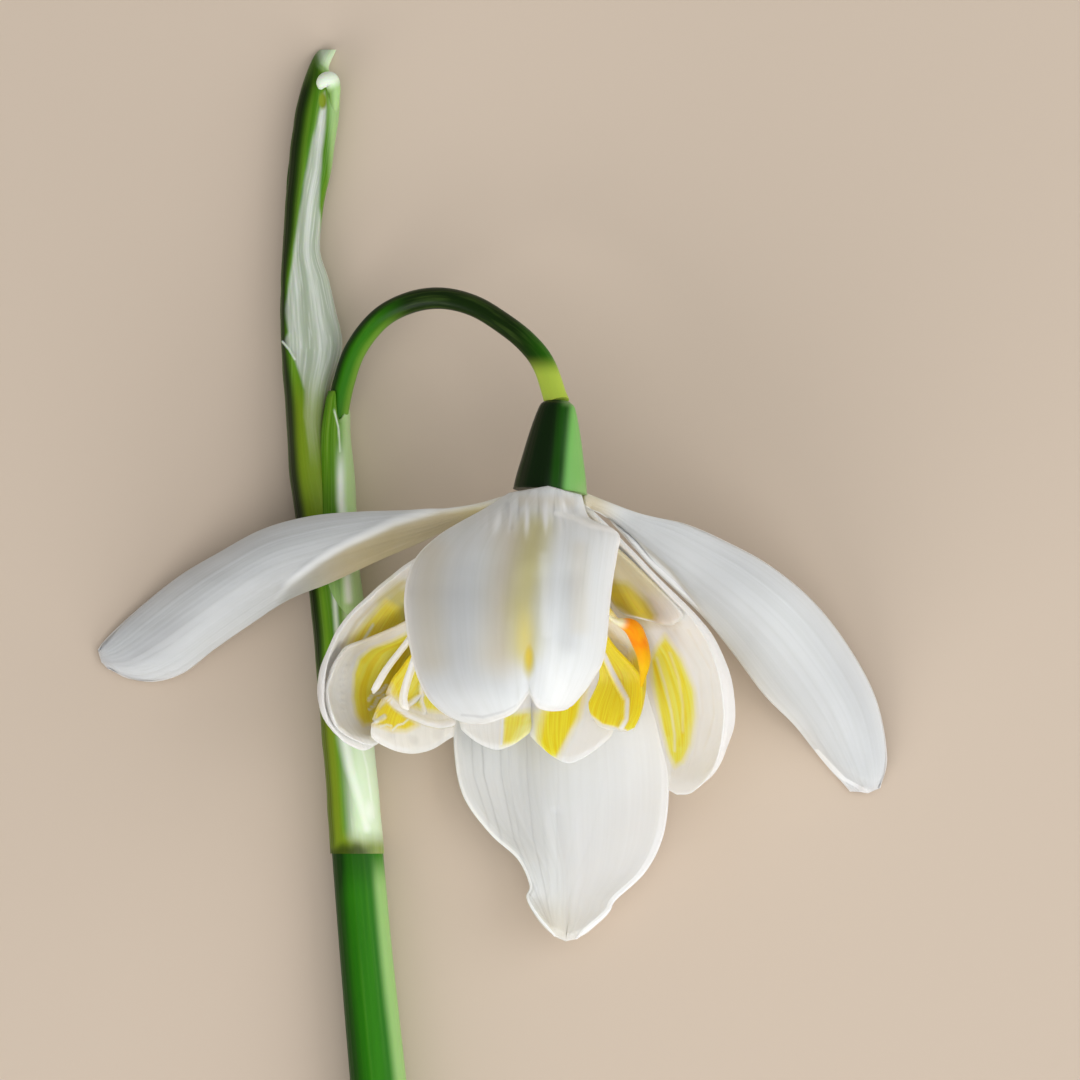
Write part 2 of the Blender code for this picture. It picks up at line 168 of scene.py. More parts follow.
def grown(name, rows, columns, position, masks):
    """A grid primitive shaped by position(t, s), t from 0 to 1 along it and s from -1 to 1
    across. masks are painted on it: name -> function of t, s and the point in mm."""
    bpy.ops.object.select_all(action="DESELECT")
    bpy.ops.mesh.primitive_grid_add(x_subdivisions=columns, y_subdivisions=rows, size=2)
    made = bpy.context.object
    made.name = name
    spots = [((vert.co.y + 1) / 2, vert.co.x) for vert in made.data.vertices]
    points = [position(t, s) for t, s in spots]
    for vert, point in zip(made.data.vertices, points):
        vert.co = place(point)
    for mask, paint in masks.items():
        layer = made.data.attributes.new(mask, "FLOAT", "POINT")
        shares = [min(max(paint(t, s, p), 0.0), 1.0) for (t, s), p in zip(spots, points)]
        layer.data.foreach_set("value", shares)
    return made


SEAM_GAP = 0.00001


def close_ends(made, crease=50):
    """Joins a rolled grid along its seam, fills both ends and smooths all but sharp edges."""
    bpy.ops.object.mode_set(mode="EDIT")
    bpy.ops.mesh.select_all(action="SELECT")
    bpy.ops.mesh.remove_doubles(threshold=SEAM_GAP)
    bpy.ops.mesh.select_all(action="DESELECT")
    bpy.ops.mesh.select_non_manifold()
    bpy.ops.mesh.fill_holes(sides=0)
    bpy.ops.mesh.select_all(action="SELECT")
    bpy.ops.mesh.normals_make_consistent(inside=False)
    bpy.ops.object.mode_set(mode="OBJECT")
    bpy.ops.object.shade_smooth_by_angle(angle=math.radians(crease))
    return made


def settle(made, node, surface):
    """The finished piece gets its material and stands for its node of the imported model."""
    made.data.materials.clear()
    made.data.materials.append(surface)
    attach(made, "root")
    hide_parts(node)
    return made


def stalk(name, route, radii, sides, rings, relief, masks):
    """A closed round stalk along a smooth route. relief(t, turn) is added to its radius."""

    def position(t, s):
        centre = Vector(between(route, t))
        step = Vector(between(route, t + 0.01)) - Vector(between(route, t - 0.01))
        side = step.cross(Vector((0, 0, 1))).normalized()
        up = side.cross(step).normalized()
        turn = math.pi * s
        radius = value_at(radii, t) + relief(t, turn)
        return centre + side * radius * math.cos(turn) + up * radius * math.sin(turn)

    return close_ends(grown(name, rings, sides, position, masks))


def colour(code):
    """An sRGB hex value as linear red, green, blue and full alpha."""
    shares = [int(code[i : i + 2], 16) / 255 for i in (1, 3, 5)]
    linear = [c / 12.92 if c <= 0.04045 else ((c + 0.055) / 1.055) ** 2.4 for c in shares]
    return (*linear, 1.0)


def add(tree, kind, inputs=None, **settings):
    """Adds a node: its settings, and for each input a value or the socket it is linked from."""
    made = tree.nodes.new(kind)
    for name, value in settings.items():
        setattr(made, name, value)
    for name, value in (inputs or {}).items():
        if isinstance(value, bpy.types.NodeSocket):
            tree.links.new(value, made.inputs[name])
        else:
            made.inputs[name].default_value = value
    return made


def ramp(tree, factor, stops):
    """The colour, or the grey share, that the factor picks between the stops."""
    made = add(tree, "ShaderNodeValToRGB", {"Fac": factor})
    while len(made.color_ramp.elements) < len(stops):
        made.color_ramp.elements.new(0.5)
    for element, (position, value) in zip(made.color_ramp.elements, stops):
        element.position = position
        element.color = colour(value) if isinstance(value, str) else (value, value, value, 1)
    return made.outputs["Color"]


def mix(tree, factor, first, second):
    made = add(tree, "ShaderNodeMix", data_type="RGBA")
    for index, value in ((0, factor), (6, first), (7, second)):
        if isinstance(value, bpy.types.NodeSocket):
            tree.links.new(value, made.inputs[index])
        else:
            made.inputs[index].default_value = colour(value) if isinstance(value, str) else value
    return made.outputs[2]


def fibres(tree, across, along, detail=3.0):
    """Noise drawn out along a piece: its features are 1/across of the piece's girth or
    width wide and 1/along of its length long."""
    uv = add(tree, "ShaderNodeUVMap", uv_map="UVMap").outputs["UV"]
    drawn = add(tree, "ShaderNodeMapping", {"Vector": uv, "Scale": (across, along, 1.0)})
    grain = {"Vector": drawn.outputs["Vector"], "Scale": 1.0, "Detail": detail}
    return add(tree, "ShaderNodeTexNoise", grain, noise_dimensions="2D").outputs["Fac"]


def mask_of(tree, name):
    return add(tree, "ShaderNodeAttribute", attribute_name=name).outputs["Fac"]


def skin(name, roughness, **sockets):
    """A new material's node tree and its one shader, with the sockets that are uniform."""
    made = bpy.data.materials.new(name)
    made.use_nodes = True
    shader = made.node_tree.nodes["Principled BSDF"]
    shader.inputs["Roughness"].default_value = roughness
    for socket, value in sockets.items():
        shader.inputs[socket.replace("_", " ")].default_value = value
    return made, made.node_tree, shader


def streaked(tree, base, grain, start, end, share, code):
    """The base colour with streaks of another: none where the grain is under start, and
    their full share where it is over end."""
    return mix(tree, ramp(tree, grain, [(start, 0.0), (end, share)]), base, code)


def tinted(tree, base, **tints):
    """The base colour with each tint laid over it where the mask of its name is painted."""
    for mask, tint in tints.items():
        base = mix(tree, mask_of(tree, mask), base, tint)
    return base


def cover(tree, shader, tint, height, distance_mm, strength):
    """The finished colour, and the relief that stands distance_mm high."""
    tree.links.new(tint, shader.inputs["Base Color"])
    relief = {"Height": height, "Distance": distance_mm * MM, "Strength": strength}
    made = add(tree, "ShaderNodeBump", relief)
    tree.links.new(made.outputs["Normal"], shader.inputs["Normal"])


# How far red, green and blue light spread inside green tissue, as shares of the scale.
GREEN_GLOW = (0.5, 1.0, 0.15)

# Waxy green stem skin, grown: even mid green under a thin bloom, with pale lengthwise
# fibres. Moist, so it has a soft broad gloss and lets a little light in.
stem_green, tree, shader = skin(
    "waxy green stem skin", 0.38, Coat_Weight=0.04, Coat_Roughness=0.3, Specular_IOR_Level=0.12,
    Subsurface_Weight=0.2, Subsurface_Scale=0.6 * MM, Subsurface_Radius=GREEN_GLOW,
)
SCAPE_GIRTH = 11.0
fine = fibres(tree, SCAPE_GIRTH / 0.25, 2.0)
broad = fibres(tree, SCAPE_GIRTH / 1.1, 1.5)
green = ramp(tree, broad, [(0.3, "#206800"), (0.7, "#2C7A00")])
green = streaked(tree, green, fine, 0.5, 0.8, 0.14, "#6FA53A")
# The dark tint paints shade on the stem's left side, away from the window, the light tint paints a highlight
# down its right side, and the pale tint is the pith at the cut end.
green = tinted(tree, green, dark="#0E3600", light="#A2C97C", pale="#A9BB5E")
cover(tree, shader, green, fine, 0.03, 0.3)

SCAPE_TOP = -21.5
SEAT = 0.3
SCAPE_RADII = [1.8, 1.75, 1.7, 1.6, 1.55]
SCAPE_MIDDLE = [(-9.15, -48.3), (-9.7, -42.0), (-10.35, -35.3), (-11.05, -28.0), (-11.6, SCAPE_TOP)]


def scape_side(point):
    """-1 on the stem's left edge, 1 on its right edge."""
    t = (point[1] - SCAPE_MIDDLE[0][1]) / (SCAPE_TOP - SCAPE_MIDDLE[0][1])
    return (point[0] - between(SCAPE_MIDDLE, t)[0]) / value_at(SCAPE_RADII, t)


scape = stalk(
    "scape_stem",
    [(x, y, TABLE + radius) for (x, y), radius in zip(SCAPE_MIDDLE, SCAPE_RADII)],
    SCAPE_RADII,
    96,
    150,
    lambda t, turn: -0.01 - 0.008 * math.cos(26 * turn) * smooth(0.0, 0.02, t),
    {
        # Painted shade down the left side, and round the top except on the right; a painted highlight down
        # the right side; pale pith at the cut end.
        "dark": lambda t, s, p: 0.9 * smooth(-0.35, -0.85, scape_side(p))
        + 0.5 * smooth(0.88, 0.985, t) * smooth(0.9, 0.2, scape_side(p)),
        "light": lambda t, s, p: 0.85 * smooth(0.4, 0.75, scape_side(p)) * smooth(1.0, 0.9, t),
        "pale": lambda t, s, p: smooth(0.012, 0.0, t),
    },
)
settle(scape, "scape", stem_green)


# ---- The spathe ------------------------------------------------------------------------
# The sheathing bract on top of the scape: two thick green keels joined by a thin papery
# white membrane. Its lower half is a tube round the pedicel; above its mouth it folds into
# a narrow hood whose two keels end in a flap and a small hook.
spathe_skin, tree, shader = skin(
    "spathe, green keels and papery membrane",
    0.36, Coat_Weight=0.04, Coat_Roughness=0.25, Subsurface_Weight=0.3, Subsurface_Scale=0.5 * MM,
    Specular_IOR_Level=0.14, Subsurface_Radius=GREEN_GLOW,
)
fine = fibres(tree, 46.0, 2.0)
broad = fibres(tree, 15.0, 1.3)
crisp = fibres(tree, 60.0, 14.0, 4.0)
paper = ramp(tree, broad, [(0.3, "#A9B39D"), (0.5, "#BEC6B4"), (0.7, "#D3D8CC")])
paper = streaked(tree, paper, fine, 0.5, 0.75, 0.35, "#A6B29A")
paper = streaked(tree, paper, crisp, 0.5, 0.62, 0.3, "#9CA98E")
paper = mix(tree, ramp(tree, crisp, [(0.34, 0.35), (0.44, 0.0)]), paper, "#E8ECE2")
leafy = ramp(tree, broad, [(0.3, "#477C04"), (0.7, "#6B981C")])
leafy = streaked(tree, leafy, fine, 0.5, 0.8, 0.35, "#9BBE5C")
# The dark tint paints shade along the left edges, away from the window, and the dark green at the hood's
# foot; the light tint paints light on the right sides, and the pale flap; the pale tint is pale membrane and
# painted highlight streaks.
tint = tinted(tree, paper, green=leafy, olive="#83951A", light="#BEDD9C", dark="#0D1D00", pale="#EDF6E4")
cover(tree, shader, tint, fine, 0.06, 0.5)

# A station is y, the x of its left and right edges, and its height above the table.
HOOD = [
    (-21.75, -13.22, -9.98, 3.2), (-19.6, -13.36, -10.16, 3.25), (-17.3, -13.5, -10.36, 3.25),
    (-12.5, -13.92, -10.88, 3.2), (-6.0, -14.5, -11.55, 3.1), (-1.6, -15.3, -12.3, 3.2),
    (1.0, -15.66, -12.9, 3.3), (2.8, -15.8, -13.3, 3.3), (4.4, -15.88, -13.45, 3.2),
    (6.2, -16.0, -13.2, 3.0), (8.2, -16.14, -12.6, 2.8), (9.2, -16.2, -12.5, 2.8),
    (10.8, -16.22, -12.85, 2.7), (12.7, -16.18, -13.3, 2.5), (14.4, -16.12, -13.8, 2.3),
    (16.2, -16.0, -13.75, 2.2), (18.0, -15.88, -13.48, 2.15), (19.8, -15.72, -13.1, 2.1),
    (21.6, -15.5, -12.84, 2.05), (23.0, -15.3, -12.66, 1.95), (24.2, -15.0, -12.7, 1.8),
    (24.9, -14.78, -13.05, 1.65), (25.5, -14.56, -13.3, 1.35), (26.0, -14.34, -13.16, 1.05),
    (26.35, -14.14, -13.0, 0.8), (26.65, -13.85, -12.88, 0.55),
]
HOOD_LEFT = [(y, left) for y, left, right, height in HOOD]
# The borders between left keel, membrane and right keel, as (y, x) going up.
LEFT_BORDER = [
    (-22, -12.5), (-17, -12.7), (-12, -13.0), (-6, -13.4), (-1.6, -14.0), (1.0, -14.3), (2.4, -14.45),
    (4.5, -14.8), (6.1, -14.75), (7.2, -15.1), (8.2, -15.4), (9.0, -16.1), (9.6, -15.75), (11.0, -15.95),
    (12.4, -15.75), (15.1, -15.3), (17.2, -15.0), (19.2, -14.7), (21.3, -14.25), (23.0, -13.85),
    (24.0, -13.6), (27.0, -12.0),
]
RIGHT_BORDER = [
    (-22, 0.0), (14.5, -13.6), (15.6, -13.75), (17.2, -13.88), (19.2, -13.8), (21.3, -13.58),
    (23.0, -13.46), (25.0, -13.6), (27.0, -13.9),
]


def in_membrane(x, y, blend):
    """1 between the borders of the two keels, falling to 0 over blend mm."""
    left = smooth(-blend, blend, x - edge_x(LEFT_BORDER, y))
    return left * smooth(blend, -blend, x - edge_x(RIGHT_BORDER, y))


def keel_height(x, y):
    """How far the hood rises on its keels and sinks along its membrane."""
    sunk = in_membrane(x, y, 0.25) * smooth(5.0, 9.0, y)
    return -0.3 * sunk + 0.05 * ripple(x * 1.6, y * 0.35, 3.0) * sunk


def hood_point(t, s):
    y, left, right, height = between(HOOD, t)
    turn = math.pi * s
    middle, half = (left + right) / 2, (right - left) / 2
    x = middle + half * math.cos(turn) + 0.05 * ripple(y * 0.5, s, 7.0)
    rise = max(math.sin(turn), 0.0)
    z = TABLE + height / 2 + 0.5 * height * math.sin(turn) + rise * keel_height(x, y)
    return Vector((x, y, z))


def keel_share(t, s, p):
    """1 on the thick green tissue, 0 on the papery membrane, which fades low on the hood."""
    if s < 0:
        return 1.0
    x, y = p[0], p[1]
    leafy = 1 - in_membrane(x + 0.06 * ripple(x, y * 0.8, 1.0), y, 0.12)
    low = 0.85 * smooth(0.2, 1.0, x - edge_x(LEFT_BORDER, y)) * smooth(-11.0, -16.0, y)
    return max(leafy, smooth(4.5, 1.0, y)) - low


def hood_dark(t, s, p):
    """Painted shade: the left keel is made nearly black along its outer edge, the side away from the window.
    The hood's foot is darkened like the top of the scape.
    """
    left = between(HOOD, t)[1]
    slim = smooth(16.0, 12.0, p[1]) * smooth(5.0, 9.0, p[1])
    reach = 0.9 + 0.2 * smooth(13.0, 19.0, p[1]) - 0.4 * slim - 0.4 * smooth(-8.0, -12.0, p[1])
    share = 0.55 + 0.42 * smooth(-14.0, -9.0, p[1]) - 0.4 * smooth(24.0, 26.0, p[1])
    ragged = p[1] + 0.3 * ripple(p[0] * 1.5, 0.0, 6.0)
    joint = 0.75 * smooth(-20.9, -21.6, ragged) * smooth(-10.2, -11.4, p[0])
    outline = 0.8 + 0.2 * smooth(0.0, 0.14, p[0] - left)
    return max(share * outline * smooth(reach, 0.3 * reach, p[0] - left), joint)


def hood_olive(t, s, p):
    x, y = p[0], p[1]
    low_side = smooth(1.0, 0.55, x - edge_x(HOOD_LEFT, y)) * smooth(-9.5, -13.0, y)
    middle = smooth(-15.75, -15.2, x) * smooth(8.0, 4.5, y) * smooth(-5.0, -1.0, y)
    slot = spot((-13.68, 23.55), 0.3, 0.65, 0.0, 0.5)(p)
    return max(
        0.85 * low_side, 0.7 * middle, slot,
        0.75 * smooth(-20.0, -21.0, y + 0.15 * ripple(x * 2.0, 0.0, 4.0)),
    )


# The pale flap in which the left keel ends.
HOOD_FLAP = patch([(-14.15, 26.8), (-13.9, 25.7), (-13.3, 25.2), (-12.6, 26.0), (-12.6, 26.9)], 0.3, 0.85)
hood = grown(
    "spathe_hood", 420, 144, hood_point,
    {
        "green": keel_share,
        # Painted light: lighter green on the right of the lower hood and along the right keel near the tip,
        # the sides towards the window; the pale flap at the tip is its own colour.
        "light": lambda t, s, p: max(
            0.95 * smooth(-12.9, -12.2, p[0] + 0.05 * (p[1] + 5)) * smooth(-1.0, -5.0, p[1])
            * smooth(-21.2, -20.0, p[1]),
            0.6 * smooth(-13.5, -13.0, p[0]) * smooth(15.0, 18.0, p[1]),
            HOOD_FLAP(p),
        ),
        "olive": hood_olive, "dark": hood_dark,
        # Pale membrane low on the right, with painted highlight streaks down the lower membrane and a short
        # one on the left keel; the last patch lightens the flap.
        "pale": strongest(
            line([(-13.05, -5.0), (-12.75, -9.4), (-12.55, -12.0)], 0.5, 1.0, 0.85),
            line([(-12.0, -5.0), (-11.75, -10.4)], 1.3, 1.0, 0.95),
            patch([(-12.6, -9.8), (-10.6, -9.8), (-9.8, -20.8), (-11.8, -20.6), (-12.2, -15.0)], 0.7, 0.6),
            line([(-12.4, -14.6), (-12.0, -16.6), (-11.4, -18.6), (-11.0, -20.2)], 1.3, 1.0, 0.95),
            line([(-11.6, -14.2), (-11.0, -16.6), (-10.6, -19.6)], 0.5, 1.0, 0.9),
            spot((-10.9, -19.2), 1.0, 2.0, 0.0, 1.0, 1.0),
            line([(-16.1, 9.05), (-15.7, 8.6), (-15.35, 8.0)], 0.2, 0.8, 0.8),
            patch([(-14.0, 26.8), (-13.75, 25.9), (-13.2, 25.5), (-12.6, 26.1), (-12.6, 26.9)], 0.25, 0.45),
        ),
    },
)
close_ends(hood, 60)
settle(hood, "spathe", spathe_skin)

# The right side of the sheath: a flap that wraps the pedicel's foot and ends in a V. A
# station is y, the x of its left and right edges, and its height above the table.
SHEATH_THICKNESS = 0.25
SHEATH = [
    (-9.5, -13.8, -11.35, 2.6), (-6.9, -13.95, -11.3, 2.95), (-4.3, -14.05, -11.62, 3.25),
    (-1.7, -14.05, -11.74, 3.42), (0.9, -14.0, -11.86, 3.5), (3.5, -13.85, -12.12, 3.5),
    (6.1, -13.4, -12.12, 3.3),
]


def sheath_turn(s):
    return math.radians(40 - 110 * s)


def sheath_point(t, s):
    """The V's bottom is on the upper side, with a tip on either side of it."""
    notch = 0.66 * smooth(-0.62, -0.3, s) - 0.3 * smooth(-0.28, 0.2, s)
    y, left, right, height = between(SHEATH, t * (1 - notch / 6))
    turn = sheath_turn(s)
    x = (left + right) / 2 + (right - left) / 2 * math.cos(turn)
    return Vector((x, y, TABLE + height * (0.5 + 0.5 * math.sin(turn))))


THIN_EDGE = 0.3


def leaf(name, rows, columns, position, thickness, masks, margin=0.1):
    """A thin leaf whose middle layer is position(t, s). Over margin, a share of its width,
    its thickness falls to the share THIN_EDGE at its edges."""
    made = grown(name, rows, columns, position, masks)
    body = made.vertex_groups.new(name="body")
    for index in range(len(made.data.vertices)):
        row, column = divmod(index, columns + 1)
        s, t = 2 * column / columns - 1, row / rows
        share = smooth(0.0, margin, 1 - abs(s)) * smooth(0.0, margin / 2, 1 - t)
        body.add([index], share, "REPLACE")
    solid = made.modifiers.new("Thickness", "SOLIDIFY")
    solid.thickness = thickness * MM
    solid.offset = 0.0
    solid.vertex_group = "body"
    solid.thickness_vertex_group = THIN_EDGE
    bpy.ops.object.modifier_apply(modifier=solid.name)
    bpy.ops.object.shade_smooth()
    made.vertex_groups.clear()
    return made


# A painted highlight: the pale streak down the middle of the flap.
SHEATH_GLEAM = line([(-12.66, 3.6), (-12.62, -0.5), (-12.4, -3.0), (-12.15, -6.5)], 0.75, 1.0)
sheath = leaf(
    "spathe_sheath", 150, 60, sheath_point, SHEATH_THICKNESS,
    {
        "green": lambda t, s, p: 1.0,
        # Painted light on the flap's right side, towards the window, and lighter green lower down; painted
        # shade along its left edge.
        "light": lambda t, s, p: max(0.95 * smooth(-12.85, -12.3, p[0]), 0.6 * smooth(-3.0, -8.0, p[1])),
        "olive": lambda t, s, p: 0.0,
        "dark": lambda t, s, p: 0.4 * smooth(-13.5, -13.85, p[0]) * smooth(-6.0, -1.0, p[1]),
        "pale": strongest(
            lambda t, s, p: smooth(3.4, 0.6, p[1]) * SHEATH_GLEAM(p),
            line([(-12.95, 4.9), (-12.78, 3.9), (-12.68, 2.4)], 0.14, 0.8, 0.7),
        ),
    },
    margin=0.06,
)
settle(sheath, "spathe", spathe_skin)

# The right keel ends in a thick pale hook that is folded over towards the left one.
HOOK = [
    (-13.08, 22.6, -9.9), (-13.02, 23.2, -9.6), (-12.98, 23.8, -9.4), (-13.02, 24.35, -9.2),
    (-13.18, 24.78, -9.05), (-13.48, 24.82, -9.0), (-13.72, 24.6, -9.05), (-13.84, 24.3, -9.2),
]
HOOK_RADII = [0.2, 0.3, 0.35, 0.42, 0.48, 0.46, 0.38, 0.14]
hook = stalk(
    "spathe_hook", HOOK, HOOK_RADII, 36, 90,
    lambda t, turn: 0.0,
    {
        "green": lambda t, s, p: 1.0,
        # Painted light on the hook's right side, towards the window; its end is pale.
        "light": lambda t, s, p: max(0.7 * smooth(-13.4, -12.9, p[0]), 0.8 * smooth(0.3, 0.5, t)),
        "dark": lambda t, s, p: 0.0,
        "pale": lambda t, s, p: 0.95 * smooth(0.42, 0.6, t),
    },
)
settle(hook, "spathe", spathe_skin)


# ---- The ovary -------------------------------------------------------------------------
# The seed vessel behind the flower, grown: a firm green cone with rounded shoulders and a
# smooth waxy skin. Its flat base carries the receptacle.
ovary_green, tree, shader = skin(
    "glossy dark green ovary skin", 0.3, Coat_Weight=0.05, Coat_Roughness=0.2, Subsurface_Weight=0.1,
    Subsurface_Scale=0.5 * MM, Specular_IOR_Level=0.14, Subsurface_Radius=GREEN_GLOW,
)
fine = fibres(tree, 46.0, 1.6)
green = ramp(tree, fibres(tree, 9.0, 1.2), [(0.3, "#0F3600"), (0.7, "#1B5202")])
green = streaked(tree, green, fine, 0.5, 0.8, 0.22, "#357314")
# The dark tint paints shade over the ovary's left side, the light tint a highlight of the window on its
# right, and the pale tint brightens its right edge.
green = tinted(tree, green, dark="#071600", light="#78BC5C", pale="#8DB56E")
cover(tree, shader, green, fine, 0.04, 0.5)

NECK = Vector((0.47, 5.38, -0.5))
OVARY = [
    (-0.27, 0.02), (-0.27, 0.2), (-0.22, 0.45), (-0.1, 0.68), (0.0, 0.75), (0.0, 2.1), (0.03, 2.2),
    (0.19, 2.07), (0.37, 1.86), (0.55, 1.66), (0.73, 1.43), (0.88, 1.2), (0.965, 1.02), (1.0, 0.8),
    (1.02, 0.6), (1.02, 0.02),
]
neck_side = NECK.cross(Vector((0, 0, 1))).normalized()
neck_up = neck_side.cross(NECK).normalized()


def ovary_point(t, s):
    share, radius = between(OVARY, t)
    turn = math.pi * s
    return NECK * share + (neck_side * math.cos(turn) + neck_up * math.sin(turn)) * radius


ovary = grown(
    "ovary_vessel", 150, 96, ovary_point,
    {
        # Painted shade over the left side, a painted highlight on the right, and pale towards the right edge,
        # at the top and at the base on the right.
        "dark": lambda t, s, p: 0.9 * smooth(0.35, -0.3, p[0] - 0.09 * p[1]),
        "light": lambda t, s, p: 0.95 * smooth(0.5, 1.05, p[0] - 0.09 * p[1]),
        "pale": lambda t, s, p: 0.35 * smooth(0.8, 1.3, p[0] - 0.09 * p[1])
        + 0.5 * smooth(0.5, 1.1, p[0]) * smooth(5.0, 5.4, p[1])
        + 0.5 * smooth(1.2, 1.9, p[0]) * smooth(1.0, 0.1, p[1]),
    },
)
close_ends(ovary)
settle(ovary, "ovary", ovary_green)


# ---- The pedicel -----------------------------------------------------------------------
# The thin flexible stalk that the flower hangs from, grown: it rises out of the spathe's
# mouth, arches over and widens a little where it joins the ovary.
pedicel_green, tree, shader = skin(
    "thin green pedicel skin", 0.36, Coat_Weight=0.05, Coat_Roughness=0.28, Subsurface_Weight=0.2,
    Subsurface_Scale=0.5 * MM, Specular_IOR_Level=0.12, Subsurface_Radius=GREEN_GLOW,
)
fine = fibres(tree, 18.0, 10.0, 2.0)
# The dark tint paints shade on the arch's top and left side, and the light tint paints light down its right
# side; the yellow tint is its own yellow-green foot by the ovary.
green = tinted(tree, "#2F7600", dark="#0F1E00", yellow="#B4C94A", light="#86AE3F")
green = streaked(tree, green, fine, 0.5, 0.8, 0.12, "#86A94C")
cover(tree, shader, green, fine, 0.02, 0.3)

PEDICEL_RADII = [0.6, 0.62, 0.66, 0.66, 0.64, 0.72]
PEDICEL = [
    (-11.75, SCAPE_TOP + SEAT, -9.35), (-12.15, -16.0, -9.35), (-12.7, -9.0, -9.35), (-13.1, -3.0, -9.3),
    (-13.1, 1.5, -9.0), (-12.85, 4.2, -8.6), (-12.4, 6.6, -8.3), (-11.65, 8.65, -8.0), (-10.2, 10.45, -7.3),
    (-8.4, 11.4, -6.4), (-6.5, 11.65, -5.3), (-4.6, 11.2, -4.2), (-2.9, 10.2, -3.2), (-1.4, 9.0, -2.3),
    (-0.35, 7.6, -1.5), (0.42, 5.35, -0.55),
]
pedicel = stalk(
    "pedicel_stalk", PEDICEL, PEDICEL_RADII, 40, 300,
    lambda t, turn: 0.04 * smooth(0.985, 1.0, t),
    {
        # Painted shade on the arch's top and down its left side; the yellow end by the ovary; painted light
        # down the right side.
        "dark": lambda t, s, p: 0.95 * max(
            smooth(-11.2, -8.6, p[0] - 0.2 * (p[1] - 10)) * smooth(0.6, -2.0, p[0] + 0.35 * (p[1] - 9)),
            smooth(-0.2, -0.8, math.cos(math.pi * s)) * smooth(-3.0, 6.0, p[1]) * smooth(-6.0, -9.0, p[0]),
        ),
        "yellow": lambda t, s, p: smooth(8.3, 6.9, p[1]) * smooth(-3.0, -0.5, p[0]),
        "light": lambda t, s, p: 0.7 * smooth(0.2, 0.85, math.cos(math.pi * s)) * smooth(-8.0, -11.0, p[0]),
    },
)
settle(pedicel, "pedicel", pedicel_green)


# ---- The outer tepals ------------------------------------------------------------------
# Three long petal-like blades, white and soft as thin damp paper: a spongy tissue between
# two clear skins, with parallel veins that run together at both ends. Each grows out of
# the receptacle on a narrow claw.
VEIN_TINT = "#C3C6C0"


def white_tissue(name, veins, vein_share, body, glow=0.8):
    """Petal tissue: veins is how many lie side by side at the piece's widest. glow is how
    many mm light spreads in it: it lights a thin blade from its far side."""
    made, tree, shader = skin(
        name, 0.42, Subsurface_Weight=0.9, Subsurface_Scale=glow * MM, Sheen_Weight=0.08,
        Subsurface_Radius=(1.0, 0.98, 0.93),
        Coat_Weight=0.06, Coat_Roughness=0.3, Specular_IOR_Level=0.35,
    )
    vein = fibres(tree, veins, 0.9, 1.5)
    fine = fibres(tree, veins * 3.3, 2.4, 2.0)
    tint = streaked(tree, body, vein, 0.46, 0.68, vein_share, VEIN_TINT)
    tint = streaked(tree, tint, fine, 0.5, 0.8, 0.16, VEIN_TINT)
    lemon = ramp(tree, fine, [(0.3, "#FFE12C"), (0.7, "#FFEF64")])
    gold = ramp(tree, fine, [(0.3, "#F6C604"), (0.7, "#FFE12A")])
    # The grey and beige tints mostly paint shade where a piece turns away from the light, in creases and
    # under other pieces, and grey also draws veins. Olive, yellow and gold are the tissue's own marks, and
    # the pale tint draws white margins and painted highlights.
    tint = tinted(
        tree, tint, grey="#A9A9AA", beige="#C9B585", olive="#BDB247", yellow=lemon, gold=gold,
        pale="#FAFBFA",
    )
    cover(tree, shader, tint, vein, 0.1, 0.4)
    return made


TISSUE_MASKS = ("grey", "beige", "olive", "yellow", "gold", "pale")


def painted(**shapes):
    """One mask for every tint of the tissue, empty where nothing is painted."""
    return {tint: shapes.get(tint, lambda t, s, p: 0.0) for tint in TISSUE_MASKS}


BLADE_BEND = math.radians(60)


def ribs(stations, length=None, relief=None):
    """The middle layer of a blade. A station is its midrib, its left margin and its right
    margin, each as x, y, z. length(s) shortens it, and relief(t, s, point) lifts it."""
    stations = [(*middle, *left, *right) for middle, left, right in stations]

    def position(t, s):
        t = t * length(s) if length else t
        place_at = between(stations, t)
        middle = Vector(place_at[:3])
        side = Vector(place_at[3:6] if s > 0 else place_at[6:])
        out = math.sin(BLADE_BEND * abs(s)) / math.sin(BLADE_BEND)
        fall = (1 - math.cos(BLADE_BEND * s)) / (1 - math.cos(BLADE_BEND))
        point = middle.lerp(side, out)
        point.z = middle.z + (side.z - middle.z) * fall
        if relief:
            point.z += relief(t, s, point)
        return point

    return position


TEPAL_THICKNESS = 0.42
tepal_white = white_tissue("white outer tepal tissue", 20, 0.2, "#DDDFDF")

# The left one is folded along a crease: above it a broad blade, below it a narrow flange that turns down,
# painted beige and grey as shade.
LEFT_CREASE = [
    (-17.4, -7.3), (-16.74, -6.5), (-15.6, -5.3), (-13.92, -4.05), (-13.02, -3.5), (-12.2, -3.05),
    (-10.6, -2.35), (-9.3, -1.75), (-6.5, -0.95), (-3.0, -0.45),
]


def below_crease(x, y):
    """Distance below the left tepal's crease."""
    return edge_x(LEFT_CREASE, x) - y


def left_relief(t, s, point):
    past = below_crease(point.x, point.y)
    near_base = smooth(-17.2, -15.0, point.x)
    fold = -1.1 * smooth(0.0, 1.4, past) * near_base + 0.1 * math.exp(-((past / 0.25) ** 2)) * near_base
    rim = 0.12 * smooth(0.86, 0.97, abs(s)) * smooth(0.5, 0.8, t)
    wave = 0.12 * ripple(point.x * 0.35, point.y * 0.7, 2.0) * smooth(0.15, 0.4, t)
    return fold + rim + wave


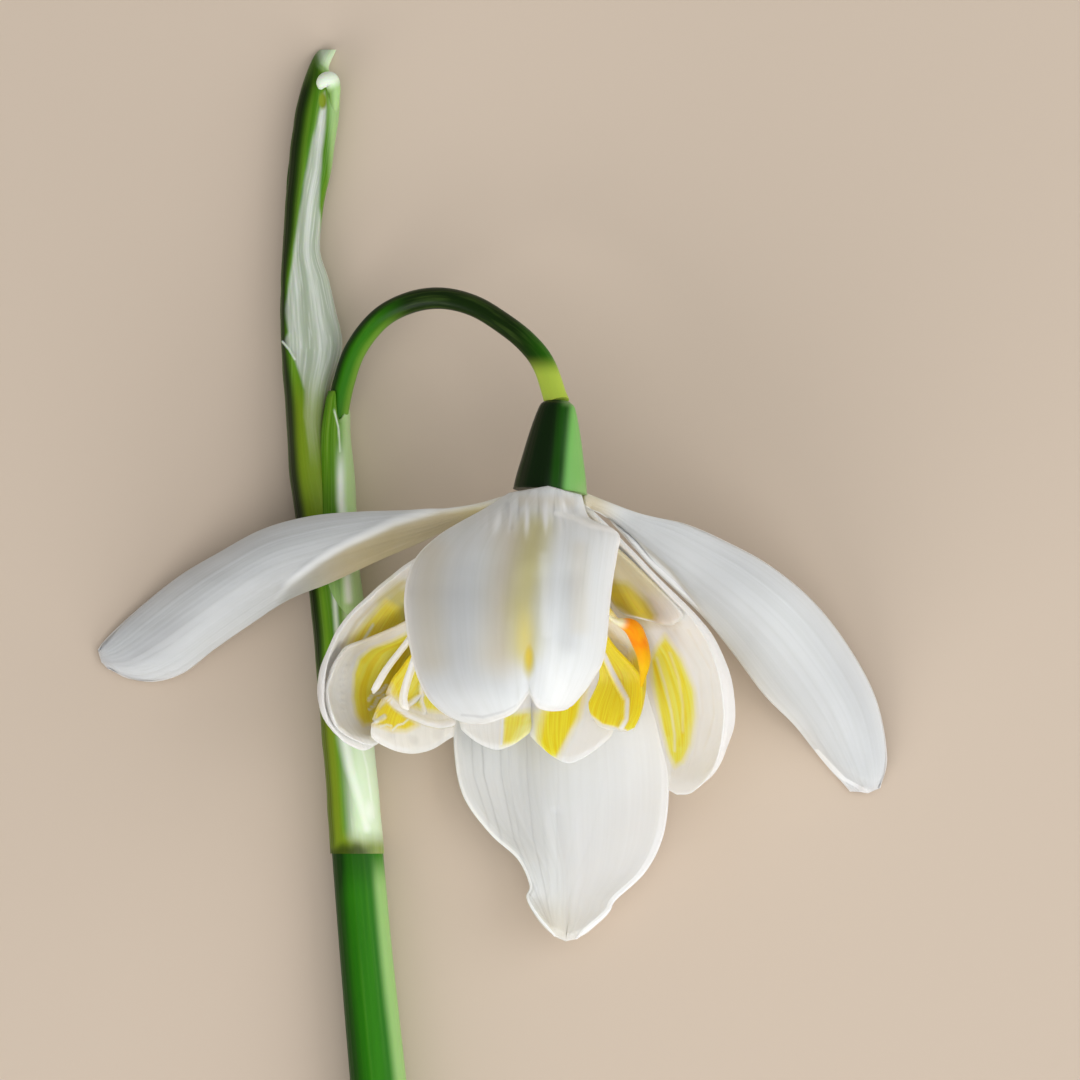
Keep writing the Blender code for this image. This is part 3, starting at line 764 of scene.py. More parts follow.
left_tepal = leaf(
    "outer_left_tepal", 200, 110,
    ribs([
        ((-1.9, -0.5, 0.0), (-2.0, -0.75, -0.1), (-2.0, -0.15, -0.1)),
        ((-4.6, -1.05, -0.75), (-4.6, -1.38, -0.85), (-4.62, -0.78, -0.85)),
        ((-7.65, -1.85, -1.9), (-7.3, -2.75, -2.2), (-7.98, -1.14, -2.2)),
        ((-10.9, -2.6, -3.1), (-10.3, -4.05, -4.0), (-11.4, -1.24, -3.9)),
        ((-13.8, -3.4, -4.2), (-13.2, -5.4, -5.6), (-14.4, -1.5, -5.5)),
        ((-16.5, -4.25, -5.3), (-15.7, -6.4, -7.0), (-17.2, -2.25, -7.0)),
        ((-19.0, -5.7, -6.45), (-18.1, -7.95, -8.4), (-19.8, -3.62, -8.4)),
        ((-21.3, -7.35, -7.7), (-20.2, -9.4, -9.6), (-22.3, -5.1, -9.6)),
        ((-23.5, -8.9, -8.95), (-22.2, -10.9, -10.4), (-24.7, -7.0, -10.4)),
        ((-25.4, -10.0, -9.95), (-24.3, -11.36, -10.7), (-26.5, -8.65, -10.7)),
        ((-27.0, -10.2, -10.6), (-26.6, -10.6, -10.75), (-27.2, -9.5, -10.75)),
    ], relief=left_relief),
    TEPAL_THICKNESS,
    painted(
        # Painted shade: beige and grey on the turned-down flange, beige towards the base, and grey over the
        # whole blade, more at the tip's middle; the flange is olive-brown towards the base. The pale tint
        # paints white margins and a highlight along the crease.
        beige=lambda t, s, p: max(
            0.6 * smooth(-0.1, 0.4, below_crease(p[0], p[1])) * smooth(-16.5, -11.5, p[0]),
            0.4 * smooth(-7.0, -3.0, p[0]),
        ),
        olive=lambda t, s, p: (0.1 + 0.3 * smooth(-6.5, -3.5, p[0]))
        * smooth(-0.2, 0.3, below_crease(p[0], p[1])) * smooth(-15.0, -11.0, p[0]),
        grey=lambda t, s, p: 0.35
        + 0.3 * smooth(-0.1, 0.4, below_crease(p[0], p[1])) * smooth(-16.5, -12.5, p[0])
        + 0.3 * smooth(-20.0, -24.0, p[0]) * smooth(0.5, 0.0, abs(s)),
        pale=lambda t, s, p: 0.9 * smooth(0.92, 0.985, abs(s)) * smooth(0.3, 0.5, t)
        + 0.45 * math.exp(-((below_crease(p[0], p[1]) / 0.18) ** 2)) * smooth(-17.0, -15.0, p[0]),
    ),
)
settle(left_tepal, "outer_tepal_left", tepal_white)


# The right one's lower margin is curled up near its base into a narrow flange, painted bright as a highlight.
FLANGE = [(2.4, -0.95), (4.3, -2.15), (5.8, -3.35), (7.2, -4.6), (8.4, -6.1), (9.4, -7.6)]


def right_relief(t, s, point):
    inner = line(FLANGE, 0.9, 1.0)(point)
    dip = -0.28 * line([(15.2, -14.5), (17.0, -16.6), (18.6, -17.6)], 1.3, 1.0)(point)
    curl = 0.3 * smooth(0.75, 1.0, s) * smooth(0.1, 0.2, t) * smooth(0.6, 0.45, t)
    wave = 0.15 * ripple(point.x * 0.33, point.y * 0.33, 5.0) * smooth(0.15, 0.4, t)
    return curl - 0.2 * inner + dip + wave + 0.1 * smooth(0.88, 0.98, -s) * smooth(0.2, 0.4, t)


right_tepal = leaf(
    "outer_right_tepal", 200, 110,
    ribs([
        ((2.0, -0.45, 0.0), (2.1, -0.8, -0.1), (2.05, -0.12, -0.1)),
        ((3.4, -0.95, -0.5), (3.2, -1.28, -0.6), (3.5, -0.72, -0.6)),
        ((5.0, -1.85, -1.2), (4.3, -2.3, -1.5), (5.6, -1.42, -1.45)),
        ((6.9, -3.0, -1.95), (5.75, -4.1, -2.7), (8.1, -1.94, -2.6)),
        ((9.0, -4.4, -2.9), (7.5, -5.8, -4.1), (10.6, -3.02, -4.0)),
        ((11.3, -6.1, -4.0), (9.4, -7.65, -5.7), (13.15, -4.42, -5.6)),
        ((13.5, -8.1, -5.2), (11.1, -9.75, -7.3), (15.75, -6.55, -7.2)),
        ((15.6, -10.7, -6.7), (12.9, -12.15, -8.8), (17.95, -9.35, -8.7)),
        ((17.3, -13.5, -8.3), (14.7, -13.95, -9.9), (19.6, -12.5, -9.9)),
        ((18.35, -16.0, -9.6), (16.3, -15.9, -10.5), (20.25, -15.9, -10.5)),
        ((19.15, -18.1, -10.5), (18.1, -18.0, -10.75), (19.85, -17.8, -10.75)),
    ], relief=right_relief),
    TEPAL_THICKNESS,
    painted(
        # Beige towards the base; painted shade in grey across the middle of the blade and towards its tip;
        # white margins, with painted highlights on the flange and near the tip.
        beige=lambda t, s, p: 0.6 * smooth(4.5, 2.5, p[0]) + 0.2 * line(FLANGE, 0.5)(p),
        grey=lambda t, s, p: 0.45
        * smooth(1.0, 0.4, abs(s + 0.1)) * smooth(0.1, 0.2, t) * smooth(0.65, 0.45, t)
        + 0.4 * smooth(0.5, 0.75, t) * smooth(1.0, 0.5, abs(s)),
        pale=lambda t, s, p: max(
            0.9 * smooth(0.94, 0.99, abs(s)),
            0.75 * smooth(0.62, 0.8, s) * smooth(0.55, 0.4, t),
            0.8 * line([(16.2, -15.5), (17.8, -17.2), (19.3, -18.2)], 0.4)(p),
        ),
    ),
)
settle(right_tepal, "outer_tepal_right", tepal_white)


# The back one lies with its inner side up. Its left half shows grey veins that run
# together towards the tip.
VEIN_TIP = (0.2, -26.2)
back_white = white_tissue("white outer tepal tissue, inner side", 20, 0.12, "#E3E5E5")
back_veins = strongest(
    *[
        line(
            [(x, -13.5), (x * 0.97, -17.0), (x * 0.72, -21.0), (VEIN_TIP[0] + 0.1 * x, VEIN_TIP[1])],
            0.32, 0.9, share,
        )
        for x, share in (
            (-5.3, 0.4), (-4.85, 0.75), (-4.2, 0.9), (-3.6, 0.4), (-3.1, 0.85), (-2.6, 0.6),
            (-1.95, 0.35), (-1.45, 0.7), (-0.6, 0.35), (0.5, 0.3), (1.9, 0.12), (3.4, 0.15),
        )
    ]
)


def back_relief(t, s, point):
    veins = -0.035 * back_veins(t, s, point) * smooth(-8.0, -13.0, point.y)
    furrow = -0.12 * line([(0.3, -19.5), (0.6, -22.5), (0.7, -26.5)], 1.4, 1.0)(point)
    return veins + furrow + 0.25 * ripple(point.x * 0.3, point.y * 0.22, 9.0) * smooth(-9.0, -14.0, point.y)


back_tepal = leaf(
    "outer_back_tepal", 200, 150,
    ribs([
        ((0.0, -0.8, -1.75), (0.6, -0.8, -1.7), (-0.6, -0.8, -1.7)),
        ((0.05, -2.3, -4.6), (1.7, -2.3, -4.4), (-1.6, -2.3, -4.4)),
        ((0.1, -5.1, -7.8), (3.4, -5.1, -7.3), (-3.2, -5.1, -7.3)),
        ((0.2, -8.6, -9.8), (5.0, -8.6, -9.0), (-4.7, -8.6, -9.0)),
        ((0.4, -12.1, -10.5), (6.2, -12.1, -9.3), (-5.6, -12.1, -9.3)),
        ((0.6, -15.4, -10.7), (6.95, -15.4, -9.2), (-5.76, -15.3, -9.2)),
        ((0.75, -18.2, -10.6), (7.12, -18.2, -9.0), (-5.22, -18.2, -9.0)),
        ((0.95, -20.8, -10.25), (6.75, -20.8, -8.8), (-3.6, -20.5, -8.8)),
        ((1.2, -22.9, -9.75), (5.7, -22.85, -8.6), (-1.95, -22.0, -8.7)),
        ((1.15, -24.6, -9.2), (3.95, -24.5, -8.4), (-1.2, -23.6, -8.4)),
        ((1.1, -25.6, -8.8), (3.55, -25.2, -8.2), (-1.38, -24.4, -8.2)),
        ((1.05, -26.4, -8.4), (2.7, -25.95, -8.0), (-0.75, -25.5, -8.0)),
        ((0.95, -27.0, -8.1), (1.6, -26.85, -7.9), (0.3, -26.7, -7.9)),
    ], relief=back_relief),
    TEPAL_THICKNESS,
    painted(
        # Grey veins, with painted shade over the left half; white margins, with painted light over the right
        # half, towards the window.
        grey=lambda t, s, p: max(0.5 * back_veins(t, s, p), 0.2 * smooth(2.0, -2.0, p[0])),
        pale=lambda t, s, p: max(0.9 * smooth(0.95, 0.99, abs(s)), 0.6 * smooth(-0.5, 2.5, p[0])),
        beige=lambda t, s, p: 0.35 * smooth(-23.5, -26.5, p[1]),
    ),
)
settle(back_tepal, "outer_tepal_back", back_white)


# ---- The inner tepals ------------------------------------------------------------------
# Three broad tepals inside the outer ones: the front one a notched shield on top of the
# flower, the left and right ones deep scoops that show their marked inner sides.
inner_white = white_tissue("white inner tepal tissue", 22, 0.12, "#DFE1E1")

GROOVE = [(-0.9, -5.5), (-1.15, -8.5), (-1.28, -10.5), (-1.3, -12.6)]
RIDGE = [(-3.9, -2.6), (-4.6, -4.6), (-4.8, -7.5), (-4.5, -10.0), (-3.6, -12.2)]
LOBE = [0.854, 0.92, 0.947, 0.962, 0.974, 0.984, 0.991, 0.997, 1.0]


def lobes(s):
    """The front tepal's end has two round lobes with a notch between them."""
    return value_at(LOBE, abs(s))


def front_relief(t, s, point):
    x, y = point.x, point.y
    groove = -0.3 * line(GROOVE, 3.0, 1.0)(point)
    groove -= 0.25 * line(GROOVE[2:], 1.1, 1.0)(point) * smooth(-10.5, -12.0, y)
    ridge = 0.22 * line(RIDGE, 3.4, 1.0)(point)
    rim = lobes(s) * (1 - t) / 0.05
    rolled = -0.16 * math.exp(-((rim - 1.0) ** 2) / 0.12) * smooth(0.05, 0.3, s) + 0.1 * smooth(0.6, 0.0, rim)
    crinkle = 0.13 * ripple(x * 2.6, y * 0.6, 4.0) * smooth(-3.6, -1.5, y)
    fold = -0.3 * smooth(-0.1, 0.1, y - (-1.4 - 0.27 * (x - 0.3))) * smooth(0.2, 1.4, x)
    edge = 0.14 * smooth(0.9, 0.99, -s) * smooth(0.2, 0.35, t)
    broad = 0.12 * ripple(x * 0.4, y * 0.2, 8.0) * smooth(0.1, 0.3, t) * (1 - abs(s) ** 4)
    return groove + ridge + rolled + crinkle + fold + edge + broad


front_tepal = leaf(
    "inner_front_tepal", 220, 170,
    ribs([
        ((-0.1, 0.22, 2.45), (-2.5, -0.25, 1.3), (1.85, -0.3, 1.5)),
        ((-0.25, -0.9, 3.6), (-4.2, -1.25, 2.0), (2.4, -1.75, 2.2)),
        ((-0.45, -2.1, 5.2), (-6.48, -2.52, 2.9), (4.05, -2.5, 3.0)),
        ((-0.6, -3.6, 6.9), (-8.1, -4.1, 3.9), (3.98, -3.75, 4.0)),
        ((-0.75, -5.2, 8.1), (-8.67, -6.0, 4.9), (3.72, -5.3, 5.0)),
        ((-0.9, -6.9, 8.9), (-8.6, -7.9, 5.7), (3.52, -7.0, 5.8)),
        ((-1.05, -8.5, 9.2), (-8.3, -9.6, 6.2), (3.37, -8.8, 6.3)),
        ((-1.15, -10.0, 9.2), (-7.85, -11.2, 6.5), (3.1, -10.2, 6.6)),
        ((-1.2, -11.3, 8.95), (-7.1, -12.55, 6.5), (2.55, -11.2, 6.6)),
        ((-1.27, -12.6, 8.5), (-5.85, -13.5, 6.3), (1.85, -12.15, 6.4)),
        ((-1.3, -13.9, 7.8), (-4.2, -13.85, 6.2), (1.0, -12.98, 6.3)),
    ], lobes, front_relief),
    TEPAL_THICKNESS,
    painted(
        # Beige bands, mostly painted shade: over the left half, beside the ridge, across the crown and down
        # the right.
        beige=strongest(
            line([(-7.0, -3.8), (-7.3, -6.5), (-7.0, -10.0)], 3.6, 1.0, 0.3),
            line([(-2.2, -3.2), (-2.6, -6.0), (-2.9, -9.6)], 4.6, 1.0, 0.42),
            line([(-1.6, -0.7), (1.1, -0.7)], 1.4, 1.0, 0.25),
            line([(1.7, -3.6), (1.7, -8.0)], 2.0, 1.0, 0.2),
        ),
        olive=strongest(
            line([(-0.8, -2.4), (-1.2, -4.6), (-1.6, -7.0), (-1.5, -9.2)], 3.4, 1.0, 0.6),
            line([(-0.7, -2.4), (-1.0, -4.4)], 2.4, 1.0, 0.4),
            spot((-1.27, -9.9), 0.6, 1.5, 0.0, 0.8, 0.95),
        ),
        gold=spot((-1.27, -9.9), 0.38, 1.1, 0.0, 0.9, 0.35),
        yellow=spot((-1.5, -8.8), 0.9, 2.6, 0.0, 1.0, 0.25),
        # Painted shade in grey: over the left half, in the troughs between the crown's crinkles, down the
        # right and under the left lobe's rolled rim.
        grey=strongest(
            patch([(-9.5, -5.0), (-3.0, -5.0), (-1.4, -10.5), (-2.2, -12.4), (-8.0, -13.0)], 1.4, 0.35),
            line([(-2.5, -0.9), (-2.3, -2.3)], 0.5, 0.8, 0.3),
            spot((-1.85, -1.3), 0.2, 1.1, -6.0, 1.0, 0.5),
            spot((-0.7, -1.3), 0.18, 1.1, -4.0, 1.0, 0.5),
            spot((0.15, -1.2), 0.18, 0.9, 0.0, 1.0, 0.5),
            line([(0.6, -0.3), (1.3, -1.3)], 0.9, 1.0, 0.3),
            line([(1.2, -5.5), (1.0, -9.0)], 2.2, 1.0, 0.3),
            line([(-2.1, -12.7), (-2.7, -13.0), (-4.0, -13.3), (-5.2, -13.2)], 0.3, 1.0, 0.45),
        ),
        # White margins and painted highlights: on the lobes' rolled rims, along the fold at the crown, on the
        # crests of the crown's crinkles, beside the groove and on the right lobe's inner edge.
        pale=lambda t, s, p: max(
            0.8 * smooth(0.95, 0.99, abs(s)),
            0.8 * smooth(0.022, 0.004, lobes(s) * (1 - t)),
            line([(0.3, -1.45), (1.3, -1.7), (2.4, -2.2), (3.9, -2.5)], 0.5, 0.9, 0.7)(p),
            line([(-0.4, -4.0), (-0.2, -8.5)], 1.0, 1.0, 0.25)(p),
            spot((-1.35, -1.7), 0.24, 1.7, -2.0, 1.0, 0.9)(p),
            spot((-3.1, -1.9), 0.3, 1.2, -14.0, 1.0, 0.7)(p),
            spot((-2.3, -1.7), 0.2, 1.3, -8.0, 1.0, 0.7)(p),
            spot((-0.28, -1.6), 0.22, 1.5, 0.0, 1.0, 0.8)(p),
            spot((0.75, -1.1), 0.2, 0.8, 14.0, 1.0, 0.7)(p),
            line([(-0.2, -9.5), (0.5, -12.2)], 2.2, 1.0, 0.15)(p),
        ),
    ),
)
settle(front_tepal, "inner_tepal_front", inner_white)

AXIS_LEAN = 0.12
CUP_FLATNESS = 0.8
ROUND_TIP = [0.84, 0.94, 0.985, 1.0, 0.985, 0.94, 0.84]


def on_cup(depth, radius, degrees):
    """A point of the flower's cup. 0 degrees is +X, 90 degrees is up, 270 is towards the table."""
    turn = math.radians(degrees)
    x = radius * math.cos(turn) - AXIS_LEAN * depth
    return Vector((x, -depth, CUP_FLATNESS * radius * math.sin(turn)))


def scoop(stations, tip=ROUND_TIP, relief=None):
    """The middle layer of a segment wrapped round the flower's axis. A station is its depth,
    its radius and the two directions between which it lies. relief(t, s, point) is added to
    the radius."""

    def position(t, s):
        t = t * value_at(tip, (s + 1) / 2)
        depth, radius, first, last = between(stations, t)
        degrees = first + (last - first) * (s + 1) / 2
        point = on_cup(depth, radius, degrees)
        return on_cup(depth, radius + relief(t, s, point), degrees) if relief else point

    return position


INNER_THICKNESS = 0.32
marked_tissue = white_tissue("white inner tepal tissue, marked yellow", 18, 0.1, "#F8F7F3", glow=1.6)
inner_left = leaf(
    "inner_left_tepal", 160, 150,
    scoop(
        [
            (0.75, 1.45, 202, 226), (1.95, 3.7, 188, 232), (4.1, 7.5, 180, 240), (7.0, 10.7, 175, 245),
            (9.4, 12.0, 173, 247), (11.5, 12.4, 172, 246), (13.6, 11.75, 173, 240), (15.5, 10.1, 178, 226),
        ],
        relief=lambda t, s, p: 0.12 * ripple(p.x * 0.6, p.y * 0.6, p.z * 0.6)
        + 0.04 * ripple(s * 14, t * 3, 5.0),
    ),
    INNER_THICKNESS,
    painted(
        gold=patch([
            (-9.94, -6.5), (-9.34, -6.9), (-9.1, -7.9), (-10.1, -8.6), (-11.0, -9.2), (-12.1, -9.7),
            (-12.3, -9.3), (-11.95, -8.55), (-11.2, -7.75), (-10.5, -7.0),
        ], 0.3, 0.8),
        yellow=patch([
            (-10.0, -6.4), (-9.0, -7.0), (-9.0, -8.4), (-12.2, -9.8), (-12.2, -9.1), (-11.1, -7.6),
        ], 0.3, 0.8),
        olive=patch([(-10.2, -6.3), (-9.4, -5.4), (-8.0, -5.4), (-8.0, -8.5), (-9.6, -8.2)], 0.6, 0.85),
        beige=line([(-8.9, -5.3), (-10.5, -6.5), (-11.7, -7.7), (-12.6, -9.2)], 0.5, 1.0, 0.6),
        grey=line([(-12.9, -9.0), (-13.4, -10.4), (-13.6, -12.3), (-13.2, -14.0)], 0.7, 1.0, 0.35),
        pale=line([(-10.75, -7.9), (-11.4, -8.95)], 0.3, 1.0, 0.8),
    ),
)
settle(inner_left, "inner_tepal_left", marked_tissue)

RIGHT_TIP = [0.985, 1.0, 1.0, 0.997, 0.985, 0.945, 0.84]
RIGHT_RIM = [
    (2.2, -0.7), (4.1, -2.6), (6.1, -5.3), (7.6, -6.6), (9.0, -7.9), (10.2, -10.2), (10.65, -13.0),
    (10.3, -14.8), (9.2, -16.7), (7.9, -17.8), (7.1, -17.6),
]
inner_right = leaf(
    "inner_right_tepal", 170, 150,
    scoop(
        [
            (0.6, 2.0, 314, 350), (2.6, 4.2, 306, 362), (5.3, 7.1, 299, 368), (7.8, 9.9, 300, 374),
            (10.1, 11.55, 304, 377), (13.0, 12.5, 308, 377), (15.8, 12.2, 316, 372),
            (18.15, 10.8, 329, 362),
        ],
        RIGHT_TIP,
        relief=lambda t, s, p: 0.1 * ripple(p.x * 0.5, p.y * 0.5, p.z * 0.5),
    ),
    INNER_THICKNESS,
    painted(
        yellow=patch([
            (7.0, -8.5), (8.1, -9.9), (8.8, -11.7), (9.0, -13.5), (8.7, -15.2), (8.1, -16.3), (7.6, -16.6),
            (7.2, -15.8), (6.8, -14.3), (6.4, -12.3), (6.2, -11.3), (6.1, -10.0), (6.5, -9.2),
        ], 0.25),
        gold=strongest(
            line([(7.0, -9.2), (8.0, -11.3), (8.25, -13.5), (7.95, -15.2)], 0.55, 0.9, 0.75),
            line([(6.4, -10.2), (6.8, -12.3), (7.2, -14.6)], 0.45, 0.9, 0.75),
        ),
        olive=patch([
            (3.4, -3.0), (4.3, -3.3), (5.6, -5.4), (7.6, -7.2), (5.5, -8.0), (3.0, -6.0),
        ], 0.5, 0.25),
        beige=strongest(
            patch([
                (1.6, -0.4), (2.6, -0.8), (4.2, -3.0), (6.6, -6.4), (7.9, -7.6), (5.5, -8.0), (3.0, -6.0),
            ], 0.5, 0.8),
            line([(7.6, -8.2), (9.1, -10.6), (9.3, -13.2), (8.8, -15.8)], 0.35, 1.0, 0.3),
            line([(8.4, -8.2), (9.8, -10.6), (10.0, -13.4), (9.3, -16.0)], 0.3, 1.0, 0.25),
        ),
        # Painted light: a broad white band along the rim and a pale band inside it, where the window's light
        # comes through; the thin pale lines are stripes in the yellow mark.
        pale=lambda t, s, p: max(
            line(RIGHT_RIM, 1.5, 0.6, 0.95)(p),
            line([(6.5, -9.9), (7.0, -11.5), (7.4, -13.2), (7.6, -14.6), (7.6, -15.6)], 0.3, 1.0, 0.4)(p),
            line([(7.3, -9.6), (7.85, -11.2), (8.1, -12.8), (8.1, -14.4)], 0.3, 1.0, 0.25)(p),
            line([(8.0, -8.6), (9.6, -12.0), (9.0, -16.0)], 2.0, 1.0, 0.7)(p),
        ),
    ),
)
settle(inner_right, "inner_tepal_right", marked_tissue)


# ---- The extra segments ----------------------------------------------------------------
# The smaller segments that make this a double flower: thin white tissue with bright yellow
# marks, crumpled where they were packed in the bud, growing inside the inner tepals.
EXTRA_THICKNESS = 0.26
segment_tissue = white_tissue("thin segment tissue, marked yellow", 12, 0.1, "#F8F7F3", glow=1.4)


def segment(node, rows, columns, surface, masks):
    made = leaf("fine_" + node, rows, columns, surface, EXTRA_THICKNESS, masks, margin=0.08)
    return settle(made, node, segment_tissue)


def wrinkles(point):
    """Short ticks across the left spoon's white margin, painted grey as shade in its wrinkles."""
    tick = smooth(0.5, 0.95, math.cos(point[1] * 14.0 + 2.0 * ripple(point[0] * 0.7, point[1] * 0.7, 2.0)))
    return tick * line([(-12.55, -13.2), (-12.6, -11.5), (-12.3, -10.3)], 0.7, 1.0)(point)


# Two small crumpled folds in the hollow of the left spoon, painted pale as highlights.
CRUMPLED = strongest(
    line([(-11.0, -12.5), (-10.7, -12.15), (-10.3, -12.05), (-9.9, -11.6)], 0.26, 1.0, 0.9),
    line([(-10.95, -13.1), (-10.6, -12.8), (-10.45, -12.4), (-10.05, -12.2)], 0.22, 1.0, 0.9),
)
segment(
    "extra_left_spoon", 150, 130,
    scoop(
        [
            (1.0, 1.0, 218, 232), (2.7, 3.4, 220, 238), (4.5, 6.0, 222, 242), (7.1, 8.95, 222, 243),
            (8.7, 10.7, 206, 243), (9.8, 11.45, 180, 243), (12.0, 11.95, 175, 243), (14.0, 11.15, 176, 240),
            (15.2, 9.8, 185, 222),
        ],
        relief=lambda t, s, p: 0.08 * ripple(p.x, p.y, p.z) - 0.07 * wrinkles(p) - 0.12 * CRUMPLED(p),
    ),
    painted(
        yellow=patch([
            (-11.6, -9.95), (-10.85, -9.3), (-9.6, -8.85), (-8.7, -8.4), (-6.5, -8.4), (-6.5, -14.2),
            (-10.3, -13.9), (-11.3, -14.1), (-11.75, -13.3), (-11.95, -12.4), (-11.9, -10.9),
        ], 0.2),
        gold=strongest(
            line([(-11.2, -10.1), (-10.4, -9.55), (-8.8, -8.95)], 0.9, 1.0, 0.9),
            line([(-10.6, -10.0), (-11.4, -11.6), (-11.3, -13.4)], 1.5, 1.0, 0.8),
            line([(-9.0, -9.6), (-9.9, -11.6)], 1.2, 1.0, 0.9),
        ),
        olive=line([(-9.4, -9.4), (-10.4, -11.4)], 0.9, 1.0, 0.35),
        # Painted shade in the margin's wrinkles and painted highlights along the crumpled folds.
        grey=lambda t, s, p: 0.3 * wrinkles(p),
        pale=CRUMPLED,
    ),
)
# The rim of the curled segment: above it lies its yellow hollow, below it its outer side.
CURLED_RIM = [
    (-10.1, -11.9), (-9.94, -12.2), (-9.26, -12.9), (-8.57, -13.4), (-7.5, -13.85), (-6.7, -14.0),
    (-5.8, -13.85), (-5.0, -13.5),
]
# The crumpled folds that cross the curled segment, painted pale as highlights.
CREASES = strongest(
    line([(-10.95, -12.0), (-10.3, -11.85), (-9.75, -11.5)], 0.28, 1.0),
    line([(-10.95, -12.9), (-10.35, -12.3), (-9.8, -11.9)], 0.3, 1.0),
    line([(-11.0, -13.4), (-10.5, -13.1), (-10.1, -12.5)], 0.25, 1.0),
    line([(-11.1, -13.75), (-10.5, -13.8), (-10.0, -13.5)], 0.25, 1.0),
    line([(-8.5, -12.8), (-8.1, -12.5), (-7.7, -12.2)], 0.4, 1.0),
    line([(-7.75, -11.6), (-7.75, -12.6), (-7.5, -13.3)], 0.3, 1.0),
)
CURLED_TIP = [0.885, 0.935, 0.973, 0.995, 0.99, 0.955, 0.88]
CURLED_HOLLOW = patch([
    (-10.0, -9.0), (-5.0, -9.0), (-5.0, -13.4), (-6.7, -13.8), (-7.5, -13.7), (-8.5, -13.2),
    (-9.3, -12.6),
], 0.4)
segment(
    "extra_left_curled", 150, 120,
    scoop(
        [
            (1.6, 1.05, 238, 252), (3.3, 3.0, 234, 247), (6.0, 7.0, 228, 244), (9.0, 9.5, 227, 245),
            (12.0, 10.3, 216, 245), (14.2, 9.6, 200, 245), (15.75, 8.9, 199, 244),
        ],
        CURLED_TIP,
        relief=lambda t, s, p: 0.1 * ripple(p.x * 0.9, p.y * 0.9, p.z * 0.9)
        - 0.3 * line(CURLED_RIM, 0.45, 1.0)(p)
        + 0.3 * CURLED_HOLLOW(p)
        - 0.2 * CREASES(p),
    ),
    painted(
        yellow=patch(
            [
                (-10.8, -8.8), (-7.0, -8.8), (-5.9, -12.4), (-5.7, -13.3), (-6.3, -13.3), (-7.3, -13.2),
                (-8.4, -12.95), (-9.3, -12.4),
            ],
            0.25,
        ),
        gold=strongest(
            patch(
                [
                    (-9.9, -12.5), (-9.26, -13.1), (-8.2, -13.8), (-8.0, -14.05), (-8.74, -14.4),
                    (-9.6, -14.35), (-10.7, -14.0), (-10.6, -13.1),
                ],
                0.25,
            ),
            line([(-8.5, -9.4), (-9.4, -12.0)], 1.3, 1.0, 0.8),
        ),
        grey=lambda t, s, p: 0.3
        * smooth(0.0, 0.5, ripple(p[0] * 1.1, p[1] * 1.1, 1.0)) * smooth(-13.9, -14.5, p[1]),
        # A thin olive line of painted shade just under the rim; painted highlights along the rim, the creases
        # and the folds below it.
        olive=line([(x, y - 0.22) for x, y in CURLED_RIM[1:]], 0.18, 1.0, 0.5),
        pale=strongest(
            line(CURLED_RIM, 0.3, 0.9, 0.95),
            CREASES,
            line([(-9.55, -14.35), (-9.25, -14.05), (-8.9, -13.95), (-8.6, -13.7)], 0.18, 1.0, 0.9),
            line([(-10.3, -14.15), (-9.9, -14.0), (-9.6, -14.1)], 0.16, 1.0, 0.8),
            line([(-10.5, -14.7), (-9.4, -15.4), (-8.2, -15.65), (-6.8, -15.45)], 0.3, 0.9, 0.7),
        ),
    ),
)
segment(
    "extra_back_white", 90, 70,
    scoop([
        (0.7, 1.15, 256, 268), (3.0, 3.9, 251, 273), (6.0, 7.3, 249, 275), (9.0, 9.9, 248, 275),
        (12.0, 10.9, 248, 275), (14.2, 10.7, 250, 274), (15.5, 10.1, 254, 271),
    ]),
    painted(
        gold=patch([(-2.75, -13.4), (-1.4, -13.4), (-1.9, -14.3), (-2.35, -15.1), (-2.9, -15.2)], 0.2, 0.8),
        yellow=patch([(-2.75, -13.4), (-0.4, -13.0), (-0.4, -15.3), (-2.9, -15.3)], 0.3, 0.8),
        olive=line([(-2.8, -13.9), (-1.6, -13.95), (-0.6, -13.6)], 0.5, 1.0, 0.5),
        pale=line([(-2.85, -13.3), (-2.95, -15.2)], 0.25, 0.8),
    ),
)
segment(
    "extra_back_yellow", 100, 80,
    scoop([
        (0.7, 1.15, 284, 296), (3.0, 3.9, 279, 297), (6.0, 7.3, 276, 298), (9.0, 9.9, 273, 300),
        (12.0, 10.9, 271, 302), (14.6, 10.6, 273, 301), (16.3, 9.9, 279, 297),
    ]),
    painted(
        gold=patch([
            (-0.4, -13.2), (2.3, -11.4), (1.8, -13.6), (1.0, -15.2), (0.5, -16.1), (-0.3, -16.2),
            (-0.75, -15.2),
        ], 0.3),
        yellow=patch([(-1.2, -13.2), (0.0, -13.0), (-0.2, -15.0), (-0.9, -15.4)], 0.3, 0.6),
        beige=line([(-0.6, -14.0), (-0.4, -15.6)], 0.6, 1.0, 0.3),
        pale=patch([(1.5, -14.4), (3.6, -12.6), (3.6, -15.0), (1.8, -16.4), (0.6, -16.2)], 0.4, 0.8),
    ),
)
FAN_VEIN = [(3.2, -9.6), (3.75, -10.8), (4.65, -12.5), (4.6, -13.7), (4.3, -14.2)]
